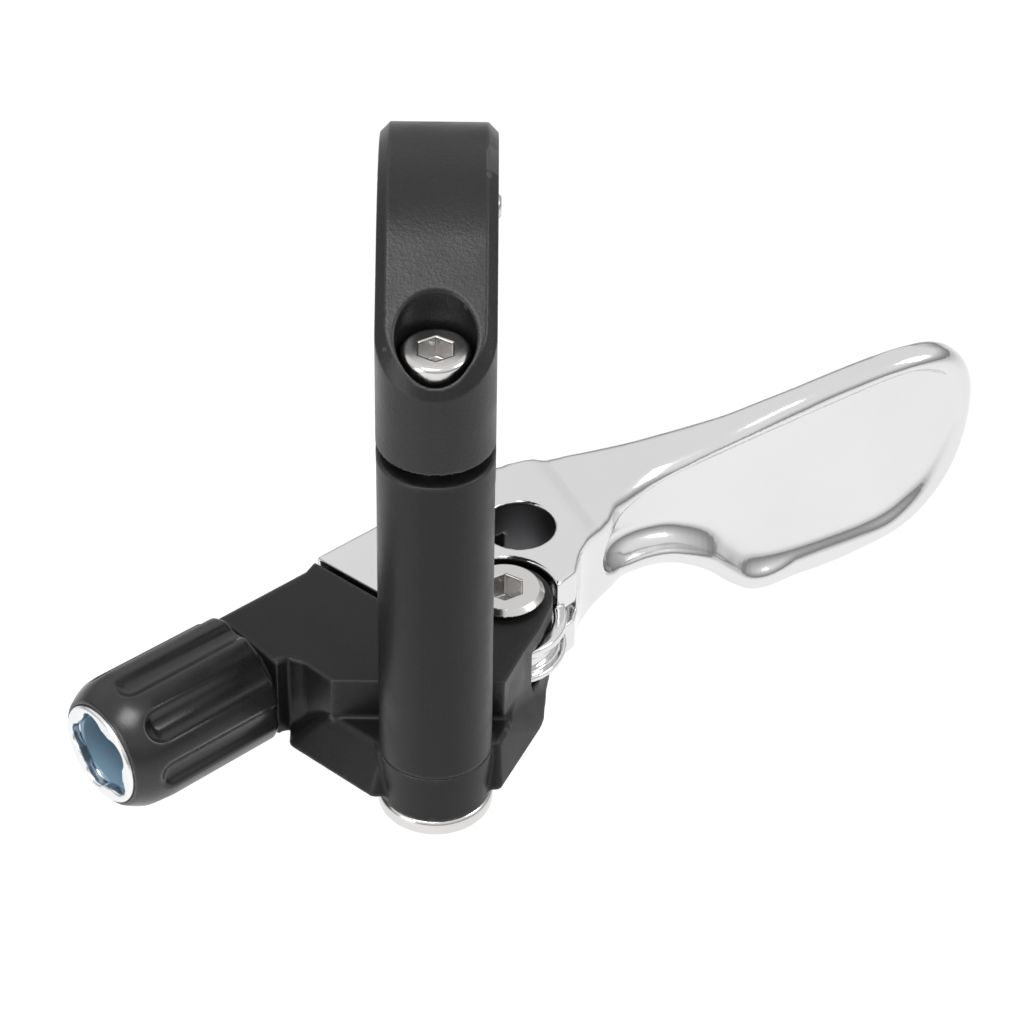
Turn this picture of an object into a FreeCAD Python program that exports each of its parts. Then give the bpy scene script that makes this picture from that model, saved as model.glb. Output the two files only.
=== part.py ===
"""Under-bar remote thumb lever with a hinged bar clamp, in millimetres.

Frame: origin at the centre of the handlebar bore, +X along the bar, +Y
towards the rider, +Z up.
"""
import FreeCAD, Part
import math
import os

os.makedirs("parts", exist_ok=True)

V = FreeCAD.Vector
X_AXIS = V(1, 0, 0)
Z_AXIS = V(0, 0, 1)

# ---------------------------------------------------------------- clamp
BAR_D = 22.2                 # handlebar diameter
CLAMP_W = 9.0                # clamp width along the bar
RING_WALL = 2.9              # wall of the clamp ring
RING_CHAMFER = 0.8           # bevel on the ring's outer edges
CLAMP_GAP = 1.3              # open slit between cap and bracket at the front
SLIT_Z = -2.4                # height of the slit's upper face
BORE_R = BAR_D / 2
RING_R = BORE_R + RING_WALL

# ---------------------------------------------------------------- hinge
PIN_R = 1.0                  # hinge pin radius
KNUCKLE_R = 2.6              # hinge knuckle radius
PIN_Y = BORE_R + 2.0         # hinge axis behind the bore's centre
PIN_Z = 0.0                  # hinge axis height
PIN_PROUD = 0.3              # how far the pin stands out of each side
PIN_CHAMFER = 0.2
KNUCKLE_W = CLAMP_W / 3      # width of the middle knuckle
KNUCKLE_GAP = 0.15           # side gap between knuckles
KNUCKLE_CLEAR = 0.35         # clearance round a knuckle in the other half
RUN_CLEAR = 0.03             # radial clearance of a running fit

# ---------------------------------------------------------------- column
COLUMN_R = CLAMP_W / 2       # radius of the column's round back
COLUMN_Y = -(BORE_R + 1.8)   # centre of the column's round back
COLUMN_FRONT_Y = COLUMN_Y + 2.7   # flat face towards the rider
COLUMN_END_Z = -33.1         # bottom of the column
STRUT_ANGLE = 31.8           # slope of the strut's lower edge, degrees
STRUT_FILLET = 3.0           # fillet where the strut meets the column
POCKET_DEPTH = 1.6           # blind pocket in each side of the strut
POCKET_ROUND = 1.2           # corner radius of the pocket
CAP_SLANT = 33.0             # slope of the cap's flat, which is tangent to the ring, degrees

# ---------------------------------------------------------------- clamp screw (M3)
SCREW_R = 1.5
SCREW_HEAD_R = 2.6
SCREW_HEAD_H = 3.0
SCREW_HEX = 2.5              # hexagon across flats
SCREW_Y = COLUMN_Y - 0.9     # screw axis
SCREW_SEAT_Z = 3.6           # floor of the counterbore
SCREW_LENGTH = 16.0          # under the head
SCREW_HEX_DEPTH = 1.8
SCREW_HEAD_ROUND = 0.35
SCREW_TIP = 0.3              # chamfer on the screw's end
SCREW_HOLE_R = 1.8           # clearance hole in the cap
COUNTERBORE_R = 3.0

# ---------------------------------------------------------------- body
BODY_TOP_Z = -29.3
BODY_BOTTOM_Z = -36.9
SHELF_Z = COLUMN_END_Z       # the column stands on this shelf
EAR_T = 1.8                  # thickness of each fork ear
EAR_R = 3.9                  # round end of the ears
BOSS_R = 4.5                 # boss under the column
BOSS_DROP = 0.75             # how far the boss stands below the body
BOSS_END_Z = BODY_BOTTOM_Z - BOSS_DROP
BODY_EDGE_ROUND = 1.1        # round on the barrel block's long edges
CABLE_R = 1.1                # cable hole through the body

# ---------------------------------------------------------------- bracket screw (M5)
MOUNT_SCREW_R = 2.5
MOUNT_SCREW_DISC_R = 4.6
MOUNT_SCREW_DISC_T = 1.5
MOUNT_SCREW_HEX = 4.0
MOUNT_SCREW_LENGTH = 11.5    # above the disc
MOUNT_SCREW_EDGE = 0.5
MOUNT_SCREW_HEX_DEPTH = 2.1
THREAD_FIT = 0.01            # radial gap of a tightened thread

# ---------------------------------------------------------------- pivot
PIVOT = V(5.4, 0.3, 0)       # lever's turning axis, parallel to Z
PIVOT_FLANGE_R = 3.3
PIVOT_FLANGE_T = 0.9
PIVOT_HEX = 2.8
PIVOT_HEX_DEPTH = 2.2
PIVOT_CHAMFER = 0.45
SHOULDER_R = 2.0             # shoulder the bearing sits on
PIVOT_THREAD_R = 1.5         # thread in the lower ear
HUB_R = 5.1
HUB_CLEAR = 0.3              # gap between the hub and each ear
WASHER_R = 2.8

# ---------------------------------------------------------------- bearing (4 x 8 x 3)
BEARING_OD = 8.0
BEARING_W = 3.0
BEARING_RING = BEARING_OD / 2 - SHOULDER_R   # room between shoulder and bearing seat
RACE_T = 0.325 * BEARING_RING   # wall of each race at its groove-free edge
BALL_R = 0.31 * BEARING_RING
BALL_COUNT = 8
BALL_CLEAR = 0.02
SHIELD_T = 0.15
SHIELD_INSET = 0.1           # how far each shield sits in from the races' faces
SHIELD_GAP = 0.08            # radial gap to the inner race
CAGE_T = 0.2 * BEARING_RING
CAGE_W = 1.7

# ---------------------------------------------------------------- lever
LEVER_TOP_Z = BODY_TOP_Z - 0.1
LEVER_BOTTOM_Z = BODY_BOTTOM_Z - 0.1
BUTT_GAP = 0.3               # gap between the lever's end and the body
EAR_CLEAR = 0.4              # relief in the lever round the ears
CABLE_END_HOLE_R = 2.95      # through hole that holds the cable's end
CABLE_END_HOLE = V(6.6, 8.7, 0)
SLOT_H = 2.0                 # height of the cable slot
SLOT_Z = -33.2               # middle of the cable slot
SLOT_DEPTH = 7.0             # depth of the slot from the thumb side
HUB_GROOVE = 0.7             # depth of the slot where it runs round the hub
DIMPLE_R = 1.5
DIMPLE_DEPTH = 0.55
RECESS_DEPTH = 0.8           # hollow in the paddle's back

PADDLE_ANGLE = 24.9          # heading of the paddle from +X, degrees
PADDLE_ORIGIN = V(19.3, 19.5, 0)

# Sections of the arm and paddle: distance along, back face, thumb face,
# bottom and top heights, and how square the section's corners are.
LEVER_SECTIONS = (
    (-13.5, -7.0, 3.1, LEVER_BOTTOM_Z + 0.1, LEVER_TOP_Z - 0.1, 6.0),
    (-9.5, -6.6, 3.2, LEVER_BOTTOM_Z - 0.2, LEVER_TOP_Z, 4.5),
    (-6.0, -4.6, 2.9, -38.0, -29.4, 3.6),
    (-2.5, -3.3, 2.5, -39.2, -29.3, 3.2),
    (1.0, -2.8, 2.2, -40.6, -29.1, 3.2),
    (4.0, -2.4, 1.9, -43.2, -28.8, 3.2),
    (7.5, -2.2, 1.4, -46.4, -28.2, 3.0),
    (12.5, -2.1, 0.9, -46.9, -26.7, 2.8),
    (18.0, -2.1, 0.8, -46.5, -25.9, 2.7),
    (22.5, -2.0, 0.9, -45.3, -25.7, 2.6),
    (26.0, -1.6, 1.4, -42.8, -26.6, 2.5),
    (28.6, -0.8, 2.1, -39.8, -28.6, 2.4),
    (30.2, 0.2, 2.7, -36.4, -31.0, 2.2),
)
SECTION_POINTS = 28          # points round each section

# Middles of the grip dimples: distance along the paddle, and height.
DIMPLES = (
    (24.1, -29.6), (19.9, -29.0), (26.4, -33.6), (22.0, -33.4), (17.9, -32.5), (14.2, -31.2),
    (24.4, -37.7), (18.9, -37.6), (14.8, -36.1), (11.2, -34.6), (7.3, -35.6), (20.8, -41.4),
    (15.2, -41.0), (10.7, -38.9), (6.9, -40.0), (10.9, -43.2),
)

# ---------------------------------------------------------------- barrel adjuster
BARREL_ORIGIN = V(-15.8, -5.8, -33.1)    # centre of the knob's inner end
CABLE_ANGLE = 40.7           # the cable line's heading from +X, degrees
NECK_GAP = 0.8               # gap between the knob and the body
BLOCK_END = 10.9             # end of the block the barrel screws into
END_SLANT = 1.4              # slant of the butt joint across the block
SIDE_B = 3.9                 # thumb-side face of the block from the cable line
INNER_B = -4.6               # inner end of the butt joint from the cable line
KNOB_R = 5.65
KNOB_LENGTH = 13.6
KNOB_TAPER = 1.1             # how much the outer end narrows, in radius
KNOB_SHOULDER = 3.4          # length of the rounded outer end
KNOB_INNER_ROUND = 0.4
FLUTES = 8
FLUTE_R = 1.6
FLUTE_DEPTH = 0.75
FLUTE_END = 3.0              # from the outer end to the middle of the flutes' round ends
CORE_R = 4.2                 # cup of the barrel core
CORE_LIP = 0.35              # how far the silver mouth stands proud of the knob
CORE_CUP = 8.0               # depth of the cup
STEM_R = 2.5                 # threaded stem
STEM_IN_BODY = 6.5           # stem's length inside the block
LINER_R = 3.5                # cup that takes the housing's end
LINER_CLEAR = 0.03           # the cup stays still while the core turns
HOUSING_R = 3.05             # bore that takes the cable housing's ferrule
HOUSING_DEPTH = 7.0
LOBES = 5
LOBE_R = 0.85
SPRING_WIRE = 0.55           # wire diameter
SPRING_R = 3.65              # mean coil radius
SPRING_TURNS = 2.5
COLLAR_T = 1.2
COLLAR_R = 4.35
COLLAR_SEAT = 0.15           # gap between the knob's inner end and the collar
COLLAR_HUB_R = STEM_R + 1.2
LIP_T = 0.8                  # lip of the silver mouth that keeps the cup in
LOBE_INSET = 0.25            # how far each lobe's centre sits inside the bore's wall
SPRING_STEPS = 40            # rings the coil is lofted through
KNOB_HOLLOW_R = COLLAR_R + 0.2
KNOB_HOLLOW = 5.0            # depth of the hollow round spring and collar
SEAL_R = 0.45                # rubber ring's section radius


# ================================================================ helpers
def polygon(points):
    return Part.Face(Part.makePolygon(list(points) + [points[0]]))


def prism_z(xy, z0, z1):
    """Straight prism over a plan outline."""
    return polygon([V(x, y, z0) for x, y in xy]).extrude(V(0, 0, z1 - z0))


def prism_x(yz, x0, x1):
    """Straight prism over a side outline."""
    return polygon([V(x0, y, z) for y, z in yz]).extrude(V(x1 - x0, 0, 0))


def cyl(radius, start, end):
    axis = end - start
    return Part.makeCylinder(radius, axis.Length, start, axis)


def cyl_z(radius, centre, z0, z1):
    return cyl(radius, V(centre.x, centre.y, z0), V(centre.x, centre.y, z1))


def tube_z(outer, inner, centre, z0, z1):
    return cyl_z(outer, centre, z0, z1).cut(cyl_z(inner, centre, z0, z1))


def hex_prism(across_flats, base, axis, depth):
    corner = across_flats / 2 / math.cos(math.pi / 6)
    side = axis.cross(X_AXIS)
    if side.Length < 0.5:
        side = axis.cross(V(0, 1, 0))
    side.normalize()
    points = []
    for i in range(6):
        turn = FreeCAD.Rotation(axis, 60 * i)
        points.append(base + turn.multVec(side) * corner)
    return polygon(points).extrude(axis * depth)


def fuse_all(shapes):
    whole = shapes[0].multiFuse(shapes[1:])
    return whole.removeSplitter()


def on_cable_line(along, across, z):
    """Point at a distance along the cable line and across it (thumb side +)."""
    c = math.cos(math.radians(CABLE_ANGLE))
    s = math.sin(math.radians(CABLE_ANGLE))
    return V(BARREL_ORIGIN.x + along * c - across * s, BARREL_ORIGIN.y + along * s + across * c, z)


def along_barrel(distance):
    """Point on the cable line, positive outwards from the knob's inner end."""
    return on_cable_line(-distance, 0, BARREL_ORIGIN.z)


CABLE_DIR = (on_cable_line(1, 0, 0) - on_cable_line(0, 0, 0))
OUTWARD = CABLE_DIR * -1


# ================================================================ clamp
def column_envelope():
    """Everything the column's round back lets stay."""
    tall = 100
    block = Part.makeBox(CLAMP_W, 60, tall, V(-CLAMP_W / 2, COLUMN_Y, -tall / 2))
    return block.fuse(cyl_z(COLUMN_R, V(0, COLUMN_Y, 0), -tall / 2, tall / 2))


def ring():
    half = CLAMP_W / 2
    disc = cyl(RING_R, V(-half, 0, 0), V(half, 0, 0))
    edges = [e for e in disc.Edges if e.Curve.TypeId == "Part::GeomCircle"]
    return disc.makeChamfer(RING_CHAMFER, edges)


def bar_bore():
    return cyl(BORE_R, V(-CLAMP_W, 0, 0), V(CLAMP_W, 0, 0))


def knuckle(x0, x1, radius):
    return cyl(radius, V(x0, PIN_Y, PIN_Z), V(x1, PIN_Y, PIN_Z))


def strut_tangent():
    """Point (y, z) where the strut's lower edge leaves the ring."""
    a = math.radians(STRUT_ANGLE)
    return RING_R * math.sin(a), -RING_R * math.cos(a)


def strut_end():
    """Point (y, z) where the strut's lower edge reaches the column."""
    y0, z0 = strut_tangent()
    return COLUMN_FRONT_Y, z0 - (y0 - COLUMN_FRONT_Y) * math.tan(math.radians(STRUT_ANGLE))


def strut_pocket(side):
    """Rounded triangular pocket in one side face."""
    y_front = COLUMN_FRONT_Y - 1.9
    outline = [
        (y_front, -11.9),
        (y_front, -17.9),
        (COLUMN_FRONT_Y + 0.4, -19.4),
        (-3.5, -16.4),
        (-3.4, -14.6),
        (COLUMN_FRONT_Y + 1.4, -10.4),
    ]
    x_face = side * CLAMP_W / 2
    x_floor = side * (CLAMP_W / 2 - POCKET_DEPTH)
    raw = prism_x(outline, x_floor, x_face + side)
    edges = [e for e in raw.Edges if abs(e.tangentAt(e.FirstParameter).x) > 0.99]
    return raw.makeFillet(POCKET_ROUND / 2, edges)


def clamp_bracket():
    half = CLAMP_W / 2
    y1, z1 = strut_tangent()
    ye, ze = strut_end()
    top = SLIT_Z - CLAMP_GAP
    outline = [
        (COLUMN_Y - COLUMN_R, top),
        (COLUMN_Y - COLUMN_R, COLUMN_END_Z),
        (COLUMN_FRONT_Y, COLUMN_END_Z),
        (ye, ze),
        (y1, z1),
        (0, top),
    ]
    web = prism_x(outline, -half, half)
    corner = [e for e in web.Edges if abs(e.tangentAt(e.FirstParameter).x) > 0.99
              and abs(e.CenterOfMass.y - ye) < 0.01 and abs(e.CenterOfMass.z - ze) < 0.01]
    web = web.makeFillet(STRUT_FILLET, corner)
    lower = Part.makeBox(CLAMP_W, RING_R + COLUMN_R, 3 * RING_R, V(-half, -RING_R - COLUMN_R, top - 3 * RING_R))
    rear = Part.makeBox(CLAMP_W, 2 * RING_R, 3 * RING_R, V(-half, 0, PIN_Z - 3 * RING_R))
    half_ring = ring().common(lower.fuse(rear))
    shape = web.fuse(half_ring)
    shape = shape.fuse(knuckle(-half, half, KNUCKLE_R))
    above = Part.makeBox(CLAMP_W, 3 * RING_R, 3 * RING_R, V(-half, 0, PIN_Z))
    shape = shape.cut(above.cut(knuckle(-half, half, KNUCKLE_R)))
    shape = shape.common(column_envelope())
    shape = shape.cut(bar_bore())
    mid = KNUCKLE_W / 2 + KNUCKLE_GAP
    shape = shape.cut(knuckle(-mid, mid, KNUCKLE_R + KNUCKLE_CLEAR))
    shape = shape.cut(knuckle(-half, half, PIN_R))
    tap = cyl_z(SCREW_R + RUN_CLEAR, V(0, SCREW_Y, 0), SCREW_SEAT_Z - SCREW_LENGTH - 1.0, 0)
    shape = shape.cut(tap)
    screw_axis = V(0, COLUMN_Y, 0)
    shape = shape.cut(cyl_z(MOUNT_SCREW_R + THREAD_FIT, screw_axis, COLUMN_END_Z - 1, mount_screw_top() + 0.5))
    for side in (-1, 1):
        shape = shape.cut(strut_pocket(side))
    return shape.removeSplitter()


def slant_points():
    """Tangent point on the ring and far point of the cap's slanted flat."""
    slant = math.radians(CAP_SLANT)
    ty, tz = -RING_R * math.sin(slant), RING_R * math.cos(slant)
    back_y = COLUMN_Y - COLUMN_R
    return (ty, tz), (back_y, tz - (ty - back_y) * math.tan(slant))


def cap_blank():
    """Cap before its holes, with one bevel round the ring and the slanted flat."""
    half = CLAMP_W / 2
    tangent, back = slant_points()
    nose = prism_x([tangent, back, (back[0], SLIT_Z), (0, SLIT_Z)], -half, half)
    disc = cyl(RING_R, V(-half, 0, 0), V(half, 0, 0))
    front = Part.makeBox(CLAMP_W, 2 * RING_R, 2 * RING_R, V(-half, -2 * RING_R, SLIT_Z))
    rear = Part.makeBox(CLAMP_W, 2 * RING_R, 2 * RING_R, V(-half, 0, PIN_Z))
    blank = nose.fuse(disc.common(front.fuse(rear))).common(column_envelope()).removeSplitter()
    return blank.makeChamfer(RING_CHAMFER, crown_edges(blank))


def crown_edges(blank):
    """Edges round the slanted flat and the top of the ring."""
    (ty, tz), (by, bz) = slant_points()
    slope = (tz - bz) / (ty - by)
    chosen = []
    for edge in blank.Edges:
        middle = edge.valueAt((edge.FirstParameter + edge.LastParameter) / 2)
        on_flat = abs(middle.z - tz - (middle.y - ty) * slope) < 0.01
        on_ring = abs(math.hypot(middle.y, middle.z) - RING_R) < 0.01
        across = abs(edge.tangentAt(edge.FirstParameter).x) > 0.99 and edge.Curve.TypeId == "Part::GeomLine"
        if (on_flat or on_ring) and not across:
            chosen.append(edge)
    return chosen


def clamp_cap():
    half = CLAMP_W / 2
    shape = cap_blank()
    for x0, x1 in ((-half, -KNUCKLE_W / 2), (KNUCKLE_W / 2, half)):
        shape = shape.cut(knuckle(x0, x1, KNUCKLE_R + KNUCKLE_CLEAR))
    shape = shape.fuse(knuckle(-KNUCKLE_W / 2, KNUCKLE_W / 2, KNUCKLE_R))
    below = Part.makeBox(CLAMP_W, 2 * RING_R, RING_R, V(-half, 0, PIN_Z - RING_R))
    shape = shape.cut(below.cut(knuckle(-half, half, KNUCKLE_R)))
    shape = shape.cut(bar_bore())
    shape = shape.cut(knuckle(-half, half, PIN_R + RUN_CLEAR))
    axis = V(0, SCREW_Y, 0)
    shape = shape.cut(cyl_z(SCREW_HOLE_R, axis, SLIT_Z - 1, SCREW_SEAT_Z + 1))
    shape = shape.cut(cyl_z(COUNTERBORE_R, axis, SCREW_SEAT_Z, RING_R))
    return shape.removeSplitter()


def hinge_pin():
    end = CLAMP_W / 2 + PIN_PROUD
    pin = knuckle(-end, end, PIN_R)
    return pin.makeChamfer(PIN_CHAMFER, [e for e in pin.Edges if e.Curve.TypeId == "Part::GeomCircle"])


def clamp_bolt():
    axis = V(0, SCREW_Y, 0)
    top = SCREW_SEAT_Z + SCREW_HEAD_H
    head = cyl_z(SCREW_HEAD_R, axis, SCREW_SEAT_Z, top)
    rim = [e for e in head.Edges if e.Curve.TypeId == "Part::GeomCircle" and e.CenterOfMass.z > top - 0.01]
    head = head.makeFillet(SCREW_HEAD_ROUND, rim)
    head = head.cut(hex_prism(SCREW_HEX, V(0, SCREW_Y, top - SCREW_HEX_DEPTH), Z_AXIS, SCREW_HEX_DEPTH + 1))
    shank = cyl_z(SCREW_R, axis, SCREW_SEAT_Z - SCREW_LENGTH, SCREW_SEAT_Z)
    tip = [e for e in shank.Edges if e.Curve.TypeId == "Part::GeomCircle"
           and e.CenterOfMass.z < SCREW_SEAT_Z - SCREW_LENGTH + 0.01]
    shank = shank.makeChamfer(SCREW_TIP, tip)
    return head.fuse(shank).removeSplitter()


# ================================================================ body
def thumb_side():
    """Unit direction across the cable line, towards the thumb."""
    return V(-CABLE_DIR.y, CABLE_DIR.x, 0)


def end_face(gap):
    """Thumb-side and inner ends of the butt joint between body and lever."""
    return on_cable_line(BLOCK_END + gap, SIDE_B, 0), on_cable_line(BLOCK_END + END_SLANT + gap, INNER_B, 0)


def top_outline():
    """Plan outline of the upper plate, without the ear's round end."""
    wall = COLUMN_FRONT_Y
    return [
        on_cable_line(NECK_GAP, SIDE_B - BODY_EDGE_ROUND, 0),
        on_cable_line(BLOCK_END, SIDE_B - BODY_EDGE_ROUND, 0),
        end_face(0)[1],
        PIVOT + thumb_side() * EAR_R,
        PIVOT + V(EAR_R * 0.95, -EAR_R * 0.30, 0),
        V(8.3, -3.4, 0),
        V(7.0, -6.2, 0),
        V(5.4, wall, 0),
        V(-8.2, wall, 0),
        on_cable_line(2.6, -5.2, 0),
        on_cable_line(1.6, -3.4, 0),
        on_cable_line(NECK_GAP, -3.0, 0),
    ]


def shelf_outline():
    """Plan outline of the shelf under the column."""
    wall = COLUMN_FRONT_Y
    return [(-8.6, -7.0), (-8.2, wall), (-4.7, -14.0), (4.6, -14.0), (5.9, wall + 0.8), (8.6, -1.0)]


def foot_outline():
    """Plan outline of the wings at the bottom of the body."""
    return [(-11.9, -7.0), (-11.9, -9.6), (-5.0, -15.6), (5.2, -14.6), (8.8, -6.6), (9.2, -1.0)]


def plan_face(points, z):
    """Closed plan outline at a height, for a loft."""
    return Part.makePolygon([V(p[0], p[1], z) for p in points] + [V(points[0][0], points[0][1], z)])


def barrel_block():
    """Block on the cable line, rounded along its thumb side."""
    far, near = end_face(0)
    plan = [on_cable_line(NECK_GAP, SIDE_B, 0), far, near, on_cable_line(NECK_GAP, -SIDE_B, 0)]
    block = prism_z([(p.x, p.y) for p in plan], BODY_BOTTOM_Z, BODY_TOP_Z)
    return block.makeFillet(BODY_EDGE_ROUND, thumb_side_edges(block))


def thumb_side_edges(solid):
    """Long edges on the thumb side of a block on the cable line."""
    level = on_cable_line(0, SIDE_B, 0).dot(thumb_side())
    return [e for e in solid.Edges if e.Curve.TypeId == "Part::GeomLine"
            and abs(e.tangentAt(e.FirstParameter).dot(CABLE_DIR)) > 0.999
            and abs(e.CenterOfMass.dot(thumb_side()) - level) < 0.01]


def shifter_body():
    plate = [(p.x, p.y) for p in top_outline()]
    shape = prism_z(plate, BODY_BOTTOM_Z, BODY_TOP_Z)
    shape = shape.fuse(barrel_block())
    shape = shape.fuse(cyl_z(EAR_R, PIVOT, BODY_BOTTOM_Z, BODY_TOP_Z))
    foot = plan_face(foot_outline(), BODY_BOTTOM_Z)
    shelf = plan_face(shelf_outline(), SHELF_Z)
    wings = Part.makeLoft([foot, shelf], True, True)
    shape = shape.fuse(wings)
    shape = shape.fuse(cyl_z(BOSS_R, V(0, COLUMN_Y, 0), BOSS_END_Z, SHELF_Z))
    gap_low = BODY_BOTTOM_Z + EAR_T
    gap_high = BODY_TOP_Z - EAR_T
    fork = cyl_z(HUB_R + HUB_CLEAR + 0.1, PIVOT, gap_low, gap_high)
    swing = [
        PIVOT + V(0, 0, 0),
        end_face(0)[1],
        end_face(0)[0] + thumb_side() * 8,
        PIVOT + V(20, 12, 0),
        PIVOT + V(20, -9, 0),
        PIVOT + V(2.2, -5.0, 0),
    ]
    fork = fork.fuse(prism_z([(p.x, p.y) for p in swing], gap_low, gap_high))
    shape = shape.cut(fork)
    shape = shape.cut(cyl_z(SHOULDER_R + THREAD_FIT, PIVOT, gap_high - 1, BODY_TOP_Z + 1))
    shape = shape.cut(cyl_z(PIVOT_THREAD_R + THREAD_FIT, PIVOT, BODY_BOTTOM_Z - 1, gap_low + 1))
    shape = shape.cut(cyl_z(MOUNT_SCREW_R + THREAD_FIT, V(0, COLUMN_Y, 0), BOSS_END_Z - 1, SHELF_Z + 1))
    mouth = along_barrel(-NECK_GAP)
    shape = shape.cut(cyl(STEM_R + RUN_CLEAR, mouth + OUTWARD, mouth + CABLE_DIR * (STEM_IN_BODY + 0.6)))
    shape = shape.cut(cyl(CABLE_R, mouth, mouth + CABLE_DIR * (BLOCK_END + END_SLANT)))
    shape = shape.cut(cyl(STEM_R + 2 * SEAL_R + 0.05, mouth + OUTWARD, mouth + CABLE_DIR * (2 * SEAL_R + 0.05)))
    return shape.removeSplitter()


def mount_screw_top():
    return BOSS_END_Z + MOUNT_SCREW_LENGTH


def bracket_screw():
    axis = V(0, COLUMN_Y, 0)
    disc = cyl_z(MOUNT_SCREW_DISC_R, axis, BOSS_END_Z - MOUNT_SCREW_DISC_T, BOSS_END_Z)
    rim = [e for e in disc.Edges if e.Curve.TypeId == "Part::GeomCircle"
           and e.CenterOfMass.z < BOSS_END_Z - MOUNT_SCREW_DISC_T + 0.01]
    disc = disc.makeFillet(MOUNT_SCREW_EDGE, rim)
    shape = disc.fuse(cyl_z(MOUNT_SCREW_R, axis, BOSS_END_Z, mount_screw_top()))
    base = V(0, COLUMN_Y, BOSS_END_Z - MOUNT_SCREW_DISC_T)
    key = hex_prism(MOUNT_SCREW_HEX, base, Z_AXIS, MOUNT_SCREW_HEX_DEPTH)
    return shape.cut(key).removeSplitter()


# ================================================================ pivot and bearing
def ears():
    """Heights of the fork's inner faces."""
    return BODY_BOTTOM_Z + EAR_T, BODY_TOP_Z - EAR_T


def bearing_span():
    low, high = ears()
    mid = (low + high) / 2
    return mid - BEARING_W / 2, mid + BEARING_W / 2


def pivot_bolt():
    low, high = ears()
    flange = cyl_z(PIVOT_FLANGE_R, PIVOT, BODY_TOP_Z, BODY_TOP_Z + PIVOT_FLANGE_T)
    rim = [e for e in flange.Edges if e.Curve.TypeId == "Part::GeomCircle" and e.CenterOfMass.z > BODY_TOP_Z + 0.1]
    flange = flange.makeChamfer(PIVOT_CHAMFER, rim)
    shape = flange.fuse(cyl_z(SHOULDER_R, PIVOT, low, BODY_TOP_Z))
    shape = shape.fuse(cyl_z(PIVOT_THREAD_R, PIVOT, BODY_BOTTOM_Z, low))
    floor = V(PIVOT.x, PIVOT.y, BODY_TOP_Z + PIVOT_FLANGE_T - PIVOT_HEX_DEPTH)
    return shape.cut(hex_prism(PIVOT_HEX, floor, Z_AXIS, PIVOT_HEX_DEPTH + 1)).removeSplitter()


def pivot_washer(upper):
    low, high = ears()
    b0, b1 = bearing_span()
    if upper:
        return tube_z(WASHER_R, SHOULDER_R, PIVOT, b1, high)
    return tube_z(WASHER_R, SHOULDER_R, PIVOT, low, b0)


def ball_ring_radius():
    return (SHOULDER_R + BEARING_OD / 2) / 2


def ball_groove():
    b0, b1 = bearing_span()
    centre = V(PIVOT.x, PIVOT.y, (b0 + b1) / 2)
    return Part.makeTorus(ball_ring_radius(), BALL_R + BALL_CLEAR, centre, Z_AXIS)


def bearing_inner_race():
    b0, b1 = bearing_span()
    race = tube_z(SHOULDER_R + RACE_T, SHOULDER_R, PIVOT, b0, b1)
    return race.cut(ball_groove())


def bearing_outer_race():
    b0, b1 = bearing_span()
    race = tube_z(BEARING_OD / 2, BEARING_OD / 2 - RACE_T, PIVOT, b0, b1)
    return race.cut(ball_groove())


def ball_centres():
    b0, b1 = bearing_span()
    for i in range(BALL_COUNT):
        a = 2 * math.pi * (i + 0.5) / BALL_COUNT
        r = ball_ring_radius()
        yield V(PIVOT.x + r * math.cos(a), PIVOT.y + r * math.sin(a), (b0 + b1) / 2)


def bearing_balls():
    return Part.makeCompound([Part.makeSphere(BALL_R, c) for c in ball_centres()])


def bearing_cage():
    b0, b1 = bearing_span()
    mid = (b0 + b1) / 2
    r = ball_ring_radius()
    cage = tube_z(r + CAGE_T / 2, r - CAGE_T / 2, PIVOT, mid - CAGE_W / 2, mid + CAGE_W / 2)
    for c in ball_centres():
        reach = V(c.x - PIVOT.x, c.y - PIVOT.y, 0).normalize() * CAGE_T * 2
        cage = cage.cut(cyl(BALL_R + BALL_CLEAR, c - reach, c + reach))
    return cage


def bearing_shields():
    b0, b1 = bearing_span()
    outer = BEARING_OD / 2 - RACE_T
    inner = SHOULDER_R + RACE_T + SHIELD_GAP
    return Part.makeCompound([
        tube_z(outer, inner, PIVOT, b1 - SHIELD_INSET - SHIELD_T, b1 - SHIELD_INSET),
        tube_z(outer, inner, PIVOT, b0 + SHIELD_INSET, b0 + SHIELD_INSET + SHIELD_T),
    ])


# ================================================================ lever
def on_paddle(w, n, z):
    """Point at a distance along the paddle and across it (thumb side +)."""
    c = math.cos(math.radians(PADDLE_ANGLE))
    s = math.sin(math.radians(PADDLE_ANGLE))
    return V(PADDLE_ORIGIN.x + w * c - n * s, PADDLE_ORIGIN.y + w * s + n * c, z)


def section_wire(w, n0, n1, z0, z1, power):
    """Closed superellipse across the paddle."""
    points = []
    for i in range(SECTION_POINTS):
        a = 2 * math.pi * i / SECTION_POINTS
        c, s = math.cos(a), math.sin(a)
        n = (n0 + n1) / 2 + (n1 - n0) / 2 * math.copysign(abs(c) ** (2 / power), c)
        z = (z0 + z1) / 2 + (z1 - z0) / 2 * math.copysign(abs(s) ** (2 / power), s)
        points.append(on_paddle(w, n, z))
    curve = Part.BSplineCurve()
    curve.interpolate(points, PeriodicFlag=True)
    return Part.Wire([curve.toShape()])


def lever_arm():
    wires = [section_wire(*s) for s in LEVER_SECTIONS]
    return Part.makeLoft(wires, True, False)


def thumb_face(w):
    """Offset of the thumb face at a distance along the paddle."""
    rows = LEVER_SECTIONS
    for a, b in zip(rows, rows[1:]):
        if a[0] <= w <= b[0]:
            t = (w - a[0]) / (b[0] - a[0])
            return a[2] + t * (b[2] - a[2])
    return rows[-1][2]


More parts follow.
